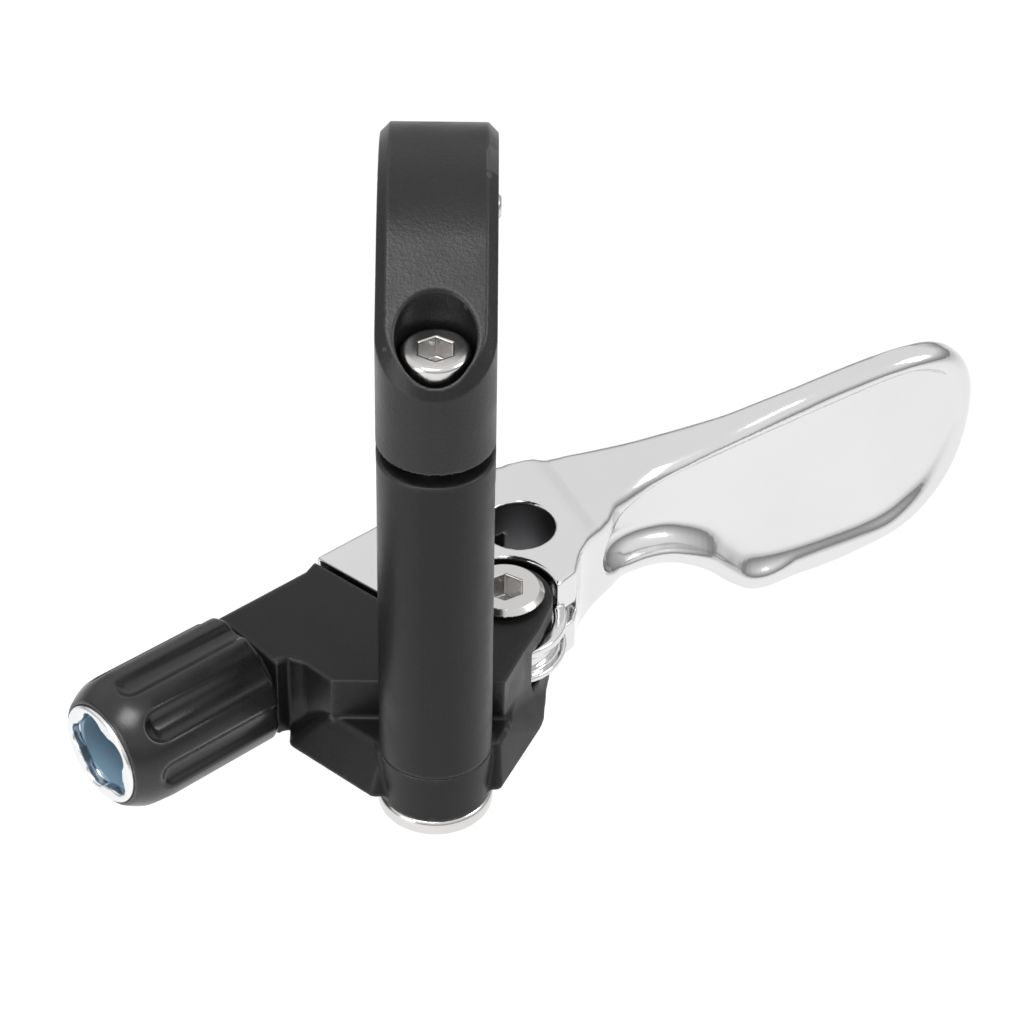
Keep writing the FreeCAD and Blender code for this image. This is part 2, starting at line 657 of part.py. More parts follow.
def dimples():
    out = []
    for w, z in DIMPLES:
        n = thumb_face(w) + DIMPLE_R - DIMPLE_DEPTH
        out.append(Part.makeSphere(DIMPLE_R, on_paddle(w, n, z)))
    return out


def back_recess():
    """Shallow hollow in the paddle's back."""
    outline = [(-3.6, -31.6), (2.1, -30.6), (8.5, -29.6), (15.0, -28.3), (21.5, -27.6), (25.5, -29.6),
               (27.2, -33.8), (26.2, -38.6), (24.0, -41.6), (21.0, -43.2), (15.8, -43.6), (8.8, -43.0),
               (5.8, -41.4), (2.8, -38.0), (-1.6, -34.4)]
    curve = Part.BSplineCurve()
    curve.interpolate([on_paddle(w, -9, z) for w, z in outline], PeriodicFlag=True)
    face = Part.Face(Part.Wire([curve.toShape()]))
    return face.extrude(on_paddle(0, -2.1 + RECESS_DEPTH, 0) - on_paddle(0, -9, 0))


def root_outline():
    """Plan outline of the lever's full-height root."""
    far, near = end_face(BUTT_GAP)
    relief = EAR_R + EAR_CLEAR
    return [
        far,
        on_cable_line(30.0, SIDE_B, 0),
        on_paddle(-11.0, 3.2, 0),
        on_paddle(-9.6, -5.2, 0),
        V(12.0, 7.6, 0),
        V(11.2, 3.0, 0),
        PIVOT + V(relief, 0.9, 0),
        PIVOT,
        PIVOT + thumb_side() * relief,
        near + thumb_side() * EAR_CLEAR,
    ]


def lever():
    low, high = ears()
    root = prism_z([(p.x, p.y) for p in root_outline()], LEVER_BOTTOM_Z, LEVER_TOP_Z)
    root = root.makeFillet(BODY_EDGE_ROUND, thumb_side_edges(root))
    relief = cyl_z(EAR_R + EAR_CLEAR, PIVOT, LEVER_BOTTOM_Z - 1, LEVER_TOP_Z + 1)
    root = root.cut(relief)
    hub = cyl_z(HUB_R, PIVOT, low + HUB_CLEAR, high - HUB_CLEAR)
    shape = fuse_all([root, hub, lever_arm()])
    shape = shape.cut(cyl_z(BEARING_OD / 2, PIVOT, low, high))
    shape = shape.cut(cyl_z(CABLE_END_HOLE_R, CABLE_END_HOLE, LEVER_BOTTOM_Z - 1, LEVER_TOP_Z + 1))
    start = BLOCK_END
    slot = prism_z([(p.x, p.y) for p in (
        on_cable_line(start - 1, SIDE_B + 2, 0),
        on_cable_line(27.3, SIDE_B + 2, 0),
        on_cable_line(27.3, SIDE_B - SLOT_DEPTH, 0),
        on_cable_line(start - 1, SIDE_B - SLOT_DEPTH + 1.5, 0),
    )], SLOT_Z - SLOT_H / 2, SLOT_Z + SLOT_H / 2)
    shape = shape.cut(slot)
    groove = tube_z(HUB_R + 2, HUB_R - HUB_GROOVE, PIVOT, SLOT_Z - SLOT_H / 2, SLOT_Z + SLOT_H / 2)
    keep = Part.makeBox(60, 60, 60, V(-30, 0, -60))
    keep.rotate(V(0, 0, 0), Z_AXIS, CABLE_ANGLE)
    keep.translate(V(PIVOT.x, PIVOT.y, 0))
    shape = shape.cut(groove.cut(keep))
    shape = shape.cut(back_recess())
    for ball in dimples():
        shape = shape.cut(ball)
    return shape.removeSplitter()


# ================================================================ barrel adjuster
def barrel_cyl(radius, t0, t1):
    return cyl(radius, along_barrel(t0), along_barrel(t1))


def knob_blank():
    """Turned knob without its flutes, narrowing in an arc to the outer end."""
    arc_r = (KNOB_SHOULDER ** 2 + KNOB_TAPER ** 2) / (2 * KNOB_TAPER)
    half_drop = arc_r - math.sqrt(arc_r ** 2 - (KNOB_SHOULDER / 2) ** 2)
    inner = KNOB_INNER_ROUND

    def at(radius, t):
        return along_barrel(t) + Z_AXIS * radius

    first = Part.makePolygon([at(KNOB_HOLLOW_R, KNOB_HOLLOW), at(KNOB_HOLLOW_R, 0), at(KNOB_R - inner, 0)])
    edge = Part.makePolygon([at(KNOB_R - inner, 0), at(KNOB_R, inner), at(KNOB_R, KNOB_LENGTH - KNOB_SHOULDER)])
    shoulder = Part.Arc(at(KNOB_R, KNOB_LENGTH - KNOB_SHOULDER),
                        at(KNOB_R - half_drop, KNOB_LENGTH - KNOB_SHOULDER / 2),
                        at(KNOB_R - KNOB_TAPER, KNOB_LENGTH)).toShape()
    last = Part.makePolygon([at(KNOB_R - KNOB_TAPER, KNOB_LENGTH), at(CORE_R, KNOB_LENGTH),
                             at(CORE_R, KNOB_HOLLOW), at(KNOB_HOLLOW_R, KNOB_HOLLOW)])
    outline = Part.Wire(first.Edges + edge.Edges + [shoulder] + last.Edges)
    return Part.Face(outline).revolve(BARREL_ORIGIN, OUTWARD, 360)


def barrel_knob():
    knob = knob_blank()
    for i in range(FLUTES):
        turn = FreeCAD.Rotation(OUTWARD, 360 * i / FLUTES)
        arm = turn.multVec(Z_AXIS) * (KNOB_R + FLUTE_R - FLUTE_DEPTH)
        start = along_barrel(-1) + arm
        end = along_barrel(KNOB_LENGTH - FLUTE_END) + arm
        knob = knob.cut(cyl(FLUTE_R, start, end).fuse(Part.makeSphere(FLUTE_R, end)))
    return knob.removeSplitter()


def mouth_t():
    return KNOB_LENGTH + CORE_LIP


def barrel_core():
    core = barrel_cyl(CORE_R, KNOB_HOLLOW, mouth_t())
    core = core.fuse(barrel_cyl(STEM_R, -NECK_GAP - STEM_IN_BODY, KNOB_HOLLOW + 1))
    core = core.cut(barrel_cyl(LINER_R + LINER_CLEAR, mouth_t() - CORE_CUP, mouth_t() - LIP_T))
    core = core.cut(barrel_cyl(HOUSING_R, mouth_t() - 2, mouth_t() + 1))
    for i in range(LOBES):
        turn = FreeCAD.Rotation(OUTWARD, 360 * i / LOBES + 18)
        arm = turn.multVec(Z_AXIS) * (HOUSING_R - LOBE_INSET)
        core = core.cut(cyl(LOBE_R, along_barrel(mouth_t() - LIP_T) + arm, along_barrel(mouth_t() + 1) + arm))
    core = core.cut(barrel_cyl(CABLE_R, -NECK_GAP - STEM_IN_BODY - 1, mouth_t()))
    return core.removeSplitter()


def barrel_liner():
    t1 = mouth_t() - LIP_T - LINER_CLEAR
    t0 = mouth_t() - CORE_CUP + LINER_CLEAR
    liner = barrel_cyl(LINER_R, t0, t1)
    liner = liner.cut(barrel_cyl(HOUSING_R, mouth_t() - HOUSING_DEPTH, t1 + 1))
    return liner.cut(barrel_cyl(CABLE_R, t0 - 1, t1))


def detent_collar():
    t0 = -NECK_GAP
    collar = barrel_cyl(COLLAR_R, COLLAR_SEAT, COLLAR_SEAT + COLLAR_T)
    collar = collar.fuse(barrel_cyl(COLLAR_HUB_R, t0, COLLAR_SEAT + COLLAR_T / 2))
    return collar.cut(barrel_cyl(STEM_R + 2 * RUN_CLEAR, t0 - 1, COLLAR_SEAT + COLLAR_T + 1))


def coil_point(turn, rise):
    """Point on the spring's centre line after so many turns, coiled about Z."""
    angle = 2 * math.pi * turn
    return V(SPRING_R * math.cos(angle), SPRING_R * math.sin(angle), rise * turn)


def barrel_spring():
    t0 = COLLAR_SEAT + COLLAR_T + SPRING_WIRE / 2
    t1 = KNOB_HOLLOW - SPRING_WIRE / 2
    rise = (t1 - t0) / SPRING_TURNS
    rings = []
    for i in range(SPRING_STEPS + 1):
        turn = SPRING_TURNS * i / SPRING_STEPS
        spoke = coil_point(turn, 0)
        heading = Z_AXIS.cross(spoke).normalize() * 2 * math.pi * SPRING_R + Z_AXIS * rise
        rings.append(Part.Wire([Part.makeCircle(SPRING_WIRE / 2, coil_point(turn, rise), heading)]))
    coil = Part.makeLoft(rings, True, False)
    coil.Placement = FreeCAD.Placement(along_barrel(t0), FreeCAD.Rotation(Z_AXIS, OUTWARD))
    return coil


def barrel_seal():
    centre = along_barrel(-NECK_GAP) + CABLE_DIR * SEAL_R
    return Part.makeTorus(STEM_R + SEAL_R + 0.04, SEAL_R, centre, CABLE_DIR)


NODES = {
    "clamp_bracket": clamp_bracket,
    "clamp_cap": clamp_cap,
    "hinge_pin": hinge_pin,
    "clamp_bolt": clamp_bolt,
    "bracket_screw": bracket_screw,
    "shifter_body": shifter_body,
    "pivot_bolt": pivot_bolt,
    "pivot_washer_upper": lambda: pivot_washer(True),
    "pivot_washer_lower": lambda: pivot_washer(False),
    "bearing_inner_race": bearing_inner_race,
    "bearing_outer_race": bearing_outer_race,
    "bearing_balls": bearing_balls,
    "bearing_cage": bearing_cage,
    "bearing_shields": bearing_shields,
    "lever": lever,
    "barrel_core": barrel_core,
    "barrel_knob": barrel_knob,
    "barrel_liner": barrel_liner,
    "barrel_spring": barrel_spring,
    "detent_collar": detent_collar,
    "barrel_seal": barrel_seal,
}

for name, build in NODES.items():
    shape = build()
    print(name, shape.ShapeType, len(shape.Solids), shape.isValid(), round(shape.Volume, 2))
    shape.exportStep("parts/" + name + ".step")
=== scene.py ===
"""Studio scene of an under-bar thumb lever: clamp, body, barrel and lever.

Each visible piece is a signed distance field in millimetres, meshed here,
or a node of the frame with a finish of its own.
"""
import logging
import math
from dataclasses import dataclass, field
from enum import Enum
from typing import Callable, Sequence

import bpy
import numpy as np
from mathutils import Matrix, Vector


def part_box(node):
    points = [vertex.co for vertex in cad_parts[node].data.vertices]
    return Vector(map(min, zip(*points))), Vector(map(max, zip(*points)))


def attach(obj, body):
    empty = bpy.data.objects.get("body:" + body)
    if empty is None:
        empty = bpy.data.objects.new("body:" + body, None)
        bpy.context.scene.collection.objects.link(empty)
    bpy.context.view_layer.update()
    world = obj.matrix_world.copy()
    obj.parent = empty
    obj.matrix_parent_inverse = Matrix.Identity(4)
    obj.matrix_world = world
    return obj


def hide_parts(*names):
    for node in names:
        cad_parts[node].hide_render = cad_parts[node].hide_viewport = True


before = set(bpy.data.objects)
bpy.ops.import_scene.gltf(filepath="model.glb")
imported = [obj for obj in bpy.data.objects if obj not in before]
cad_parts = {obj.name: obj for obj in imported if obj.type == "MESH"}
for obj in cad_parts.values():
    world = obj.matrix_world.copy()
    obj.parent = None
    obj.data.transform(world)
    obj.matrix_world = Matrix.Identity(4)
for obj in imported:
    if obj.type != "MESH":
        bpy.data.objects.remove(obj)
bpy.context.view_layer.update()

LOG = logging.getLogger("thumb_lever")
MM = 0.001
Array = np.ndarray
Distance = Callable[[Array], Array]


# ------------------------------------------------------------ distance fields
def sharp_max(a: Array, b: Array, size: float) -> Array:
    """Meets two fields in a sharp edge; size is not used."""
    return np.maximum(a, b)


def round_max(a: Array, b: Array, size: float) -> Array:
    """Meets two fields in a rounded edge.

    Args:
        a: first field's values.
        b: second field's values.
        size: edge radius.

    Returns:
        The field of the common part.
    """
    corner = np.hypot(np.maximum(a + size, 0), np.maximum(b + size, 0))
    return np.minimum(-size, np.maximum(a, b)) + corner


def bevel_max(a: Array, b: Array, size: float) -> Array:
    """Meets two fields in a flat bevel that takes size off both."""
    return np.maximum(np.maximum(a, b), (a + b + size) * math.sqrt(0.5))


class Edge(Enum):
    """How two surfaces meet."""

    SHARP = "sharp"
    ROUND = "round"
    BEVEL = "bevel"

    def meet(self, a: Array, b: Array, size: float) -> Array:
        """Field of the common part of a and b with this edge."""
        rule = {"sharp": sharp_max, "round": round_max, "bevel": bevel_max}[self.value]
        return rule(a, b, size)


@dataclass(frozen=True)
class Solid:
    """A closed shape.

    Args:
        distance: signed distance at points of shape (N, 3), in millimetres.
    """

    distance: Distance

    def join(self, other: "Solid", blend: float = 0.05) -> "Solid":
        """Both shapes, with a fillet of the given radius between them."""

        def joined(p: Array) -> Array:
            return -round_max(-self.distance(p), -other.distance(p), blend)

        return Solid(joined)

    def meet(self, other: "Solid", size: float = 0.05, edge: Edge = Edge.ROUND) -> "Solid":
        """The common part, with the given edge."""
        return Solid(lambda p: edge.meet(self.distance(p), other.distance(p), size))

    def cut(self, other: "Solid", size: float = 0.05, edge: Edge = Edge.ROUND) -> "Solid":
        """This shape without the other, with the given edge."""
        return Solid(lambda p: edge.meet(self.distance(p), -other.distance(p), size))


@dataclass(frozen=True)
class Outline:
    """A closed flat outline with exact signed distance.

    Args:
        points: corners in order, shape (N, 2).
    """

    points: Array

    def distance(self, u: Array, v: Array) -> Array:
        """Signed distance of the points (u, v), negative inside."""
        best = np.full(u.shape, 1e18)
        inside = np.zeros(u.shape, bool)
        for (ax, ay), (bx, by) in zip(self.points, np.roll(self.points, -1, 0)):
            ex, ey = bx - ax, by - ay
            wx, wy = u - ax, v - ay
            t = np.clip((wx * ex + wy * ey) / (ex * ex + ey * ey), 0, 1)
            best = np.minimum(best, (wx - ex * t) ** 2 + (wy - ey * t) ** 2)
            if ay != by:
                crosses = (ay > v) != (by > v)
                inside ^= crosses & (u < ex * (v - ay) / ey + ax)
        return np.sqrt(best) * np.where(inside, -1, 1)


def corners(spec: Sequence[tuple[float, ...]], steps: int = 6) -> Outline:
    """Outline from corners, each rounded where a radius is given.

    Args:
        spec: (x, y) or (x, y, radius) for each corner in order; a point placed
            at height 0 counts as having no radius.
        steps: straight pieces in each round.

    Returns:
        The outline.
    """
    out: list[Array] = []
    flat = [np.array(s[:2], float) for s in spec]
    for i, s in enumerate(spec):
        here, before, after = flat[i], flat[i - 1], flat[(i + 1) % len(flat)]
        radius = s[2] if len(s) > 2 else 0.0
        if radius <= 0:
            out.append(here)
            continue
        a, b = before - here, after - here
        a, b = a / np.linalg.norm(a), b / np.linalg.norm(b)
        half = math.acos(float(np.clip(a @ b, -1, 1))) / 2
        start = here + a * radius / math.tan(half)
        end = here + b * radius / math.tan(half)
        centre = here + (a + b) / np.linalg.norm(a + b) * radius / math.sin(half)
        for k in range(steps + 1):
            mid = start + (end - start) * k / steps - centre
            out.append(centre + mid / np.linalg.norm(mid) * radius)
    return Outline(np.array(out))


def ease(t: Array) -> Array:
    """Goes from 0 to 1 with level ends; t is held between them."""
    t = np.clip(t, 0, 1)
    return t * t * (3 - 2 * t)


def slab(w: Array, low: float, high: float) -> Array:
    """Signed distance from the space between two heights."""
    return np.abs(w - (low + high) / 2) - (high - low) / 2


def smooth_loop(points: Sequence[tuple[float, float]], steps: int = 5) -> Outline:
    """Closed Catmull-Rom curve through the points."""
    p = np.array(points, float)
    before, after, beyond = np.roll(p, 1, 0), np.roll(p, -1, 0), np.roll(p, -2, 0)
    rows = []
    for k in range(steps):
        t = k / steps
        rows.append(0.5 * (2 * p + (after - before) * t
                           + (2 * before - 5 * p + 4 * after - beyond) * t ** 2
                           + (3 * p - before - 3 * after + beyond) * t ** 3))
    return Outline(np.stack(rows, 1).reshape(-1, 2))


def smooth_table(x: Array, knots: Sequence[float], values: Sequence[float]) -> Array:
    """Values at x of a smooth curve through (knots, values), level past its ends."""
    k, v = np.array(knots, float), np.array(values, float)
    slope = np.gradient(v, k)
    i = np.clip(np.searchsorted(k, x) - 1, 0, len(k) - 2)
    span = k[i + 1] - k[i]
    t = np.clip((x - k[i]) / span, 0, 1)
    a, b = 2 * t ** 3 - 3 * t ** 2, t ** 3 - t ** 2
    return v[i] * (1 + a) - v[i + 1] * a + span * (slope[i] * (b - t ** 2 + t) + slope[i + 1] * b)


@dataclass(frozen=True)
class Axes:
    """A local frame.

    Args:
        origin: its origin, in millimetres.
        u: first direction.
        v: second direction.
        w: third direction.
    """

    origin: tuple[float, float, float]
    u: tuple[float, float, float]
    v: tuple[float, float, float]
    w: tuple[float, float, float]

    def local(self, p: Array) -> tuple[Array, Array, Array]:
        """The three local coordinates of points p."""
        q = p - np.array(self.origin)
        return q @ np.array(self.u), q @ np.array(self.v), q @ np.array(self.w)

    def place(self, u: float, v: float, w: float) -> Array:
        """The point at the given local coordinates."""
        return (np.array(self.origin) + u * np.array(self.u) + v * np.array(self.v)
                + w * np.array(self.w))

    def prism(self, outline: Outline, low: float, high: float, size: float = 0.05,
              edge: Edge = Edge.ROUND) -> Solid:
        """Prism over an outline in u and v, from low to high along w."""

        def distance(p: Array) -> Array:
            u, v, w = self.local(p)
            return edge.meet(outline.distance(u, v), slab(w, low, high), size)

        return Solid(distance)

    def rod(self, radius: float, low: float, high: float, size: float = 0.05,
            edge: Edge = Edge.ROUND, at: tuple[float, float] = (0.0, 0.0)) -> Solid:
        """Round bar along w, its axis at the given u and v."""

        def distance(p: Array) -> Array:
            u, v, w = self.local(p)
            round_side = np.hypot(u - at[0], v - at[1]) - radius
            return edge.meet(round_side, slab(w, low, high), size)

        return Solid(distance)

    def turned(self, profile: Outline) -> Solid:
        """Shape turned about w from an outline in radius and w."""

        def distance(p: Array) -> Array:
            u, v, w = self.local(p)
            return profile.distance(np.hypot(u, v), w)

        return Solid(distance)

    def hexagon(self, across: float, low: float, high: float) -> Solid:
        """Hexagonal bar along w, by its width across flats."""
        corner = across / math.sqrt(3)
        turns = [math.radians(60 * i + 90) for i in range(6)]
        return self.prism(corners([(corner * math.cos(t), corner * math.sin(t)) for t in turns]), low, high)

    def dish(self, radius: float, depth: float, top: float) -> Solid:
        """Shallow cone sunk into a screw's head.

        Args:
            radius: radius at the head's face.
            depth: depth in the middle.
            top: height of the head's face.

        Returns:
            The shape to cut away.
        """
        lip, above = top + 0.08, top + 2
        return self.turned(corners([(0, top - depth), (radius, lip), (radius, above), (0, above)]))


def half_space(point: Sequence[float], normal: Sequence[float]) -> Solid:
    """Everything behind a plane, against its normal."""
    n = np.array(normal, float)
    n = n / np.linalg.norm(n)
    return Solid(lambda p: (p - np.array(point)) @ n)


def upright(x: float, y: float) -> Axes:
    """Axes that stand on the point (x, y) and keep the frame's directions."""
    return Axes((x, y, 0), (1, 0, 0), (0, 1, 0), (0, 0, 1))


PLAN = upright(0, 0)
SIDE = Axes((0, 0, 0), (0, 1, 0), (0, 0, 1), (1, 0, 0))


# ------------------------------------------------------------ meshing
CELL_CORNERS = np.array([(i, j, k) for i in (0, 1) for j in (0, 1) for k in (0, 1)])
CELL_EDGES = [(a, b) for a in range(8) for b in range(a + 1, 8)
              if np.abs(CELL_CORNERS[a] - CELL_CORNERS[b]).sum() == 1]


@dataclass
class Mesher:
    """Turns distance fields into smooth meshes.

    Args:
        block: samples along each side of a block that is skipped when far.
        passes: how often vertices are moved onto the true surface.
        chunk: points worked out at once.
    """

    block: int = 8
    passes: int = 3
    chunk: int = 300_000

    def sample(self, solid: Solid, points: Array) -> Array:
        """Field values at points, worked out in chunks."""
        parts = [solid.distance(points[i:i + self.chunk]) for i in range(0, len(points), self.chunk)]
        return np.concatenate(parts) if parts else np.zeros(0)

    def gradient(self, solid: Solid, points: Array, reach: float) -> Array:
        """Central differences of the field at points."""
        out = np.empty_like(points)
        for axis in range(3):
            step = np.zeros(3)
            step[axis] = reach
            ahead, behind = self.sample(solid, points + step), self.sample(solid, points - step)
            out[:, axis] = (ahead - behind) / (2 * reach)
        return out

    def grid(self, solid: Solid, low: Array, high: Array, cell: float) -> Array:
        """Field on a grid, exact near the surface and rough far from it."""
        n = self.block
        blocks = np.ceil((high - low) / cell / n).astype(int) + 1
        index = np.indices(blocks).reshape(3, -1).T
        centres = low + (index + 0.5) * n * cell
        rough = self.sample(solid, centres)
        near = np.abs(rough) < n * cell * 0.5 * math.sqrt(3) * 1.3 + cell
        values = np.repeat(np.repeat(np.repeat(rough.reshape(blocks), n, 0), n, 1), n, 2)
        inner = np.indices((n, n, n)).reshape(3, -1).T
        for start in range(0, int(near.sum()), 400):
            some = index[near][start:start + 400]
            samples = (some[:, None, :] * n + inner[None]).reshape(-1, 3)
            values[tuple(samples.T)] = self.sample(solid, low + samples * cell)
        return values

    def surface(self, solid: Solid, low: Array, high: Array, cell: float) -> tuple[Array, Array]:
        """Vertices and quads of the field's zero surface.

        Args:
            solid: the shape.
            low: lowest corner of its box.
            high: highest corner of its box.
            cell: grid step.

        Returns:
            Vertices (N, 3) and faces (M, 4).
        """
        low = low - 2.3 * cell
        high = high + 2 * cell
        values = self.grid(solid, low, high, cell)
        inside = values < 0
        size = np.array(values.shape) - 1
        count = np.zeros(size, np.uint8)
        for i, j, k in CELL_CORNERS:
            count += inside[i:i + size[0], j:j + size[1], k:k + size[2]]
        cells = np.argwhere((count > 0) & (count < 8))
        at = np.stack([values[tuple((cells + c).T)] for c in CELL_CORNERS], 1)
        total, hits = np.zeros((len(cells), 3)), np.zeros(len(cells))
        for a, b in CELL_EDGES:
            crossing = (at[:, a] < 0) != (at[:, b] < 0)
            t = np.where(crossing, at[:, a] / np.where(crossing, at[:, a] - at[:, b], 1), 0)
            spot = CELL_CORNERS[a] + t[:, None] * (CELL_CORNERS[b] - CELL_CORNERS[a])
            total += spot * crossing[:, None]
            hits += crossing
        vertices = low + (cells + total / hits[:, None]) * cell
        ids = np.full(size, -1, np.int64)
        ids[tuple(cells.T)] = np.arange(len(cells))
        quads = [self.quads(inside, ids, axis) for axis in range(3)]
        return self.settle(solid, vertices, cell), np.concatenate(quads)

    @staticmethod
    def quads(inside: Array, ids: Array, axis: int) -> Array:
        """Quads round the grid edges along one axis that cross the surface."""
        one, two = (axis + 1) % 3, (axis + 2) % 3
        start = [slice(1, n) for n in ids.shape]
        start[axis] = slice(0, ids.shape[axis])
        ahead = list(start)
        ahead[axis] = slice(1, ids.shape[axis] + 1)
        here, there = inside[tuple(start)], inside[tuple(ahead)]
        spots = np.argwhere(here != there)
        spots[:, one] += 1
        spots[:, two] += 1
        rows = []
        for d1, d2 in ((0, 0), (1, 0), (1, 1), (0, 1)):
            cell = spots.copy()
            cell[:, one] -= d1
            cell[:, two] -= d2
            rows.append(ids[tuple(cell.T)])
        faces = np.stack(rows, 1)
        flip = here[tuple((spots - np.eye(3, dtype=int)[one] - np.eye(3, dtype=int)[two]).T)]
        faces[~flip] = faces[~flip][:, ::-1]
        return faces[(faces >= 0).all(1)]

    def settle(self, solid: Solid, vertices: Array, cell: float) -> Array:
        """Moves vertices onto the surface along the field's gradient."""
        for _ in range(self.passes):
            d = self.sample(solid, vertices)
            g = self.gradient(solid, vertices, cell * 0.2)
            step = -(d / np.maximum((g * g).sum(1), 0.25))[:, None] * g
            long = np.linalg.norm(step, axis=1)
            vertices = vertices + step * np.minimum(1, 0.6 * cell / np.maximum(long, 1e-9))[:, None]
        return vertices


MESHER = Mesher()


# ------------------------------------------------------------ finishes
class Nodes:
    """Builds one material's node tree.

    Args:
        name: name of a new material, or a material to carry on with.
    """

    def __init__(self, name: "str | bpy.types.Material") -> None:
        self.material = bpy.data.materials.new(name) if isinstance(name, str) else name
        self.material.use_nodes = True
        self.tree = self.material.node_tree
        self.shader = self.tree.nodes["Principled BSDF"]
        self.place = self.add("ShaderNodeTexCoord").outputs["Object"]

    def parts(self, vector: bpy.types.NodeSocket) -> list[bpy.types.NodeSocket]:
        """The three parts of a vector."""
        node = self.add("ShaderNodeSeparateXYZ")
        self.put(node.inputs[0], vector)
        return list(node.outputs)

    def sum(self, rule: str, a: object, b: object = 0.0) -> bpy.types.NodeSocket:
        """One step of arithmetic."""
        node = self.add("ShaderNodeMath", operation=rule)
        self.put(node.inputs[0], a)
        self.put(node.inputs[1], b)
        return node.outputs[0]

    def far(self, a: object, b: float) -> bpy.types.NodeSocket:
        """a less b."""
        return self.sum("SUBTRACT", a, b)

    def add(self, kind: str, **values: object) -> bpy.types.Node:
        """Adds a node; plain names set properties."""
        node = self.tree.nodes.new(kind)
        for key, value in values.items():
            setattr(node, key, value)
        return node

    def put(self, socket: bpy.types.NodeSocket, value: object) -> None:
        """Links or sets one socket."""
        if isinstance(value, bpy.types.NodeSocket):
            self.tree.links.new(value, socket)
        else:
            socket.default_value = value

    def noise(self, per_mm: float, detail: float = 4.0, rough: float = 0.6,
              stretch: tuple[float, float, float] = (1, 1, 1)) -> bpy.types.NodeSocket:
        """Noise with so many features to the millimetre."""
        scale = self.add("ShaderNodeMapping")
        self.put(scale.inputs["Vector"], self.place)
        scale.inputs["Scale"].default_value = stretch
        node = self.add("ShaderNodeTexNoise")
        self.put(node.inputs["Vector"], scale.outputs["Vector"])
        node.inputs["Scale"].default_value = per_mm / MM
        node.inputs["Detail"].default_value = detail
        node.inputs["Roughness"].default_value = rough
        return node.outputs["Fac"]

    def ramp(self, value: bpy.types.NodeSocket, low: float, high: float, out_low: float,
             out_high: float) -> bpy.types.NodeSocket:
        """Maps a value from one range to another, held at its ends."""
        node = self.add("ShaderNodeMapRange")
        node.clamp = True
        for key, number in (("From Min", low), ("From Max", high), ("To Min", out_low), ("To Max", out_high)):
            node.inputs[key].default_value = number
        self.put(node.inputs["Value"], value)
        return node.outputs["Result"]

    def mix(self, factor: object, a: object, b: Sequence[float]) -> bpy.types.NodeSocket:
        """Colour between a and b; a may be another node's output."""
        node = self.add("ShaderNodeMix", data_type="RGBA")
        self.put(node.inputs[0], factor)
        self.put(node.inputs[6], a if isinstance(a, bpy.types.NodeSocket) else (*a, 1))
        self.put(node.inputs[7], (*b, 1))
        return node.outputs[2]

    def edge_highlight_mask(self) -> bpy.types.NodeSocket:
        """Mask for the painted edge highlight: 0 in the open and up to 1 along sharp outer edges."""
        geometry = self.add("ShaderNodeNewGeometry")
        return self.ramp(geometry.outputs["Pointiness"], 0.505, 0.58, 0.0, 1.0)

    def bump(self, height: bpy.types.NodeSocket, strength: float, distance_mm: float) -> None:
        """Adds a bump under those already there."""
        node = self.add("ShaderNodeBump")
        node.inputs["Strength"].default_value = strength
        node.inputs["Distance"].default_value = distance_mm * MM
        self.put(node.inputs["Height"], height)
        before = self.shader.inputs["Normal"].links
        if before:
            self.put(node.inputs["Normal"], before[0].from_socket)
        self.put(self.shader.inputs["Normal"], node.outputs["Normal"])


@dataclass(frozen=True)
class BlastedBlack:
    """Bead-blasted black anodised aluminium.

    Args:
        name: material name.
        dark: colour in the grain's pits.
        light: colour on the grain's tops.
        rough: mean roughness.
        grain: strength of the blasted grain.
        per_mm: grains to the millimetre.
        shine: strength of the surface's reflection.
        painted_edge_colour: painted highlight colour along sharp outer edges.
    """

    name: str
    dark: tuple[float, float, float] = (0.004, 0.004, 0.0045)
    light: tuple[float, float, float] = (0.013, 0.013, 0.014)
    rough: float = 0.36
    grain: float = 0.35
    per_mm: float = 6.0
    shine: float = 0.22
    painted_edge_colour: tuple[float, float, float] = (0.09, 0.09, 0.095)

    def build(self) -> bpy.types.Material:
        """Makes the material."""
        n = Nodes(self.name)
        fine = n.noise(self.per_mm, 3.0)
        patch = n.noise(0.25, 2.0)
        base = n.mix(fine, self.dark, self.light)
        # Sharp outer edges are painted lighter, a painted highlight along the edges.
        n.put(n.shader.inputs["Base Color"], n.mix(n.ramp(n.edge_highlight_mask(), 0, 1, 0, 0.35), base, self.painted_edge_colour))
        n.put(n.shader.inputs["Roughness"], n.ramp(patch, 0.3, 0.7, self.rough - 0.05, self.rough + 0.07))
        n.put(n.shader.inputs["Specular IOR Level"], self.shine)
        n.bump(fine, self.grain, 0.03)
        return n.material


@dataclass(frozen=True)
class Metal:
    """Bare metal, polished, turned or drawn.

    Args:
        name: material name.
        colour: base colour.
        rough: mean roughness.
        lines: stretch of the fine lines along each axis.
        line_depth: strength of the fine lines.
    """

    name: str
    colour: tuple[float, float, float]
    rough: float
    lines: tuple[float, float, float] = (1, 1, 1)
    line_depth: float = 0.05

    def build(self) -> bpy.types.Material:
        """Makes the material."""
        n = Nodes(self.name)
        cloud = n.noise(0.12, 3.0)
        lines = n.noise(4.0, 3.0, 0.7, self.lines)
        dim = tuple(c * 0.93 for c in self.colour)
        n.put(n.shader.inputs["Base Color"], n.mix(cloud, dim, self.colour))
        n.put(n.shader.inputs["Metallic"], 1.0)
        n.put(n.shader.inputs["Roughness"], n.ramp(lines, 0.3, 0.75, self.rough * 0.8, self.rough * 1.3))
        n.bump(lines, self.line_depth, 0.01)
        return n.material


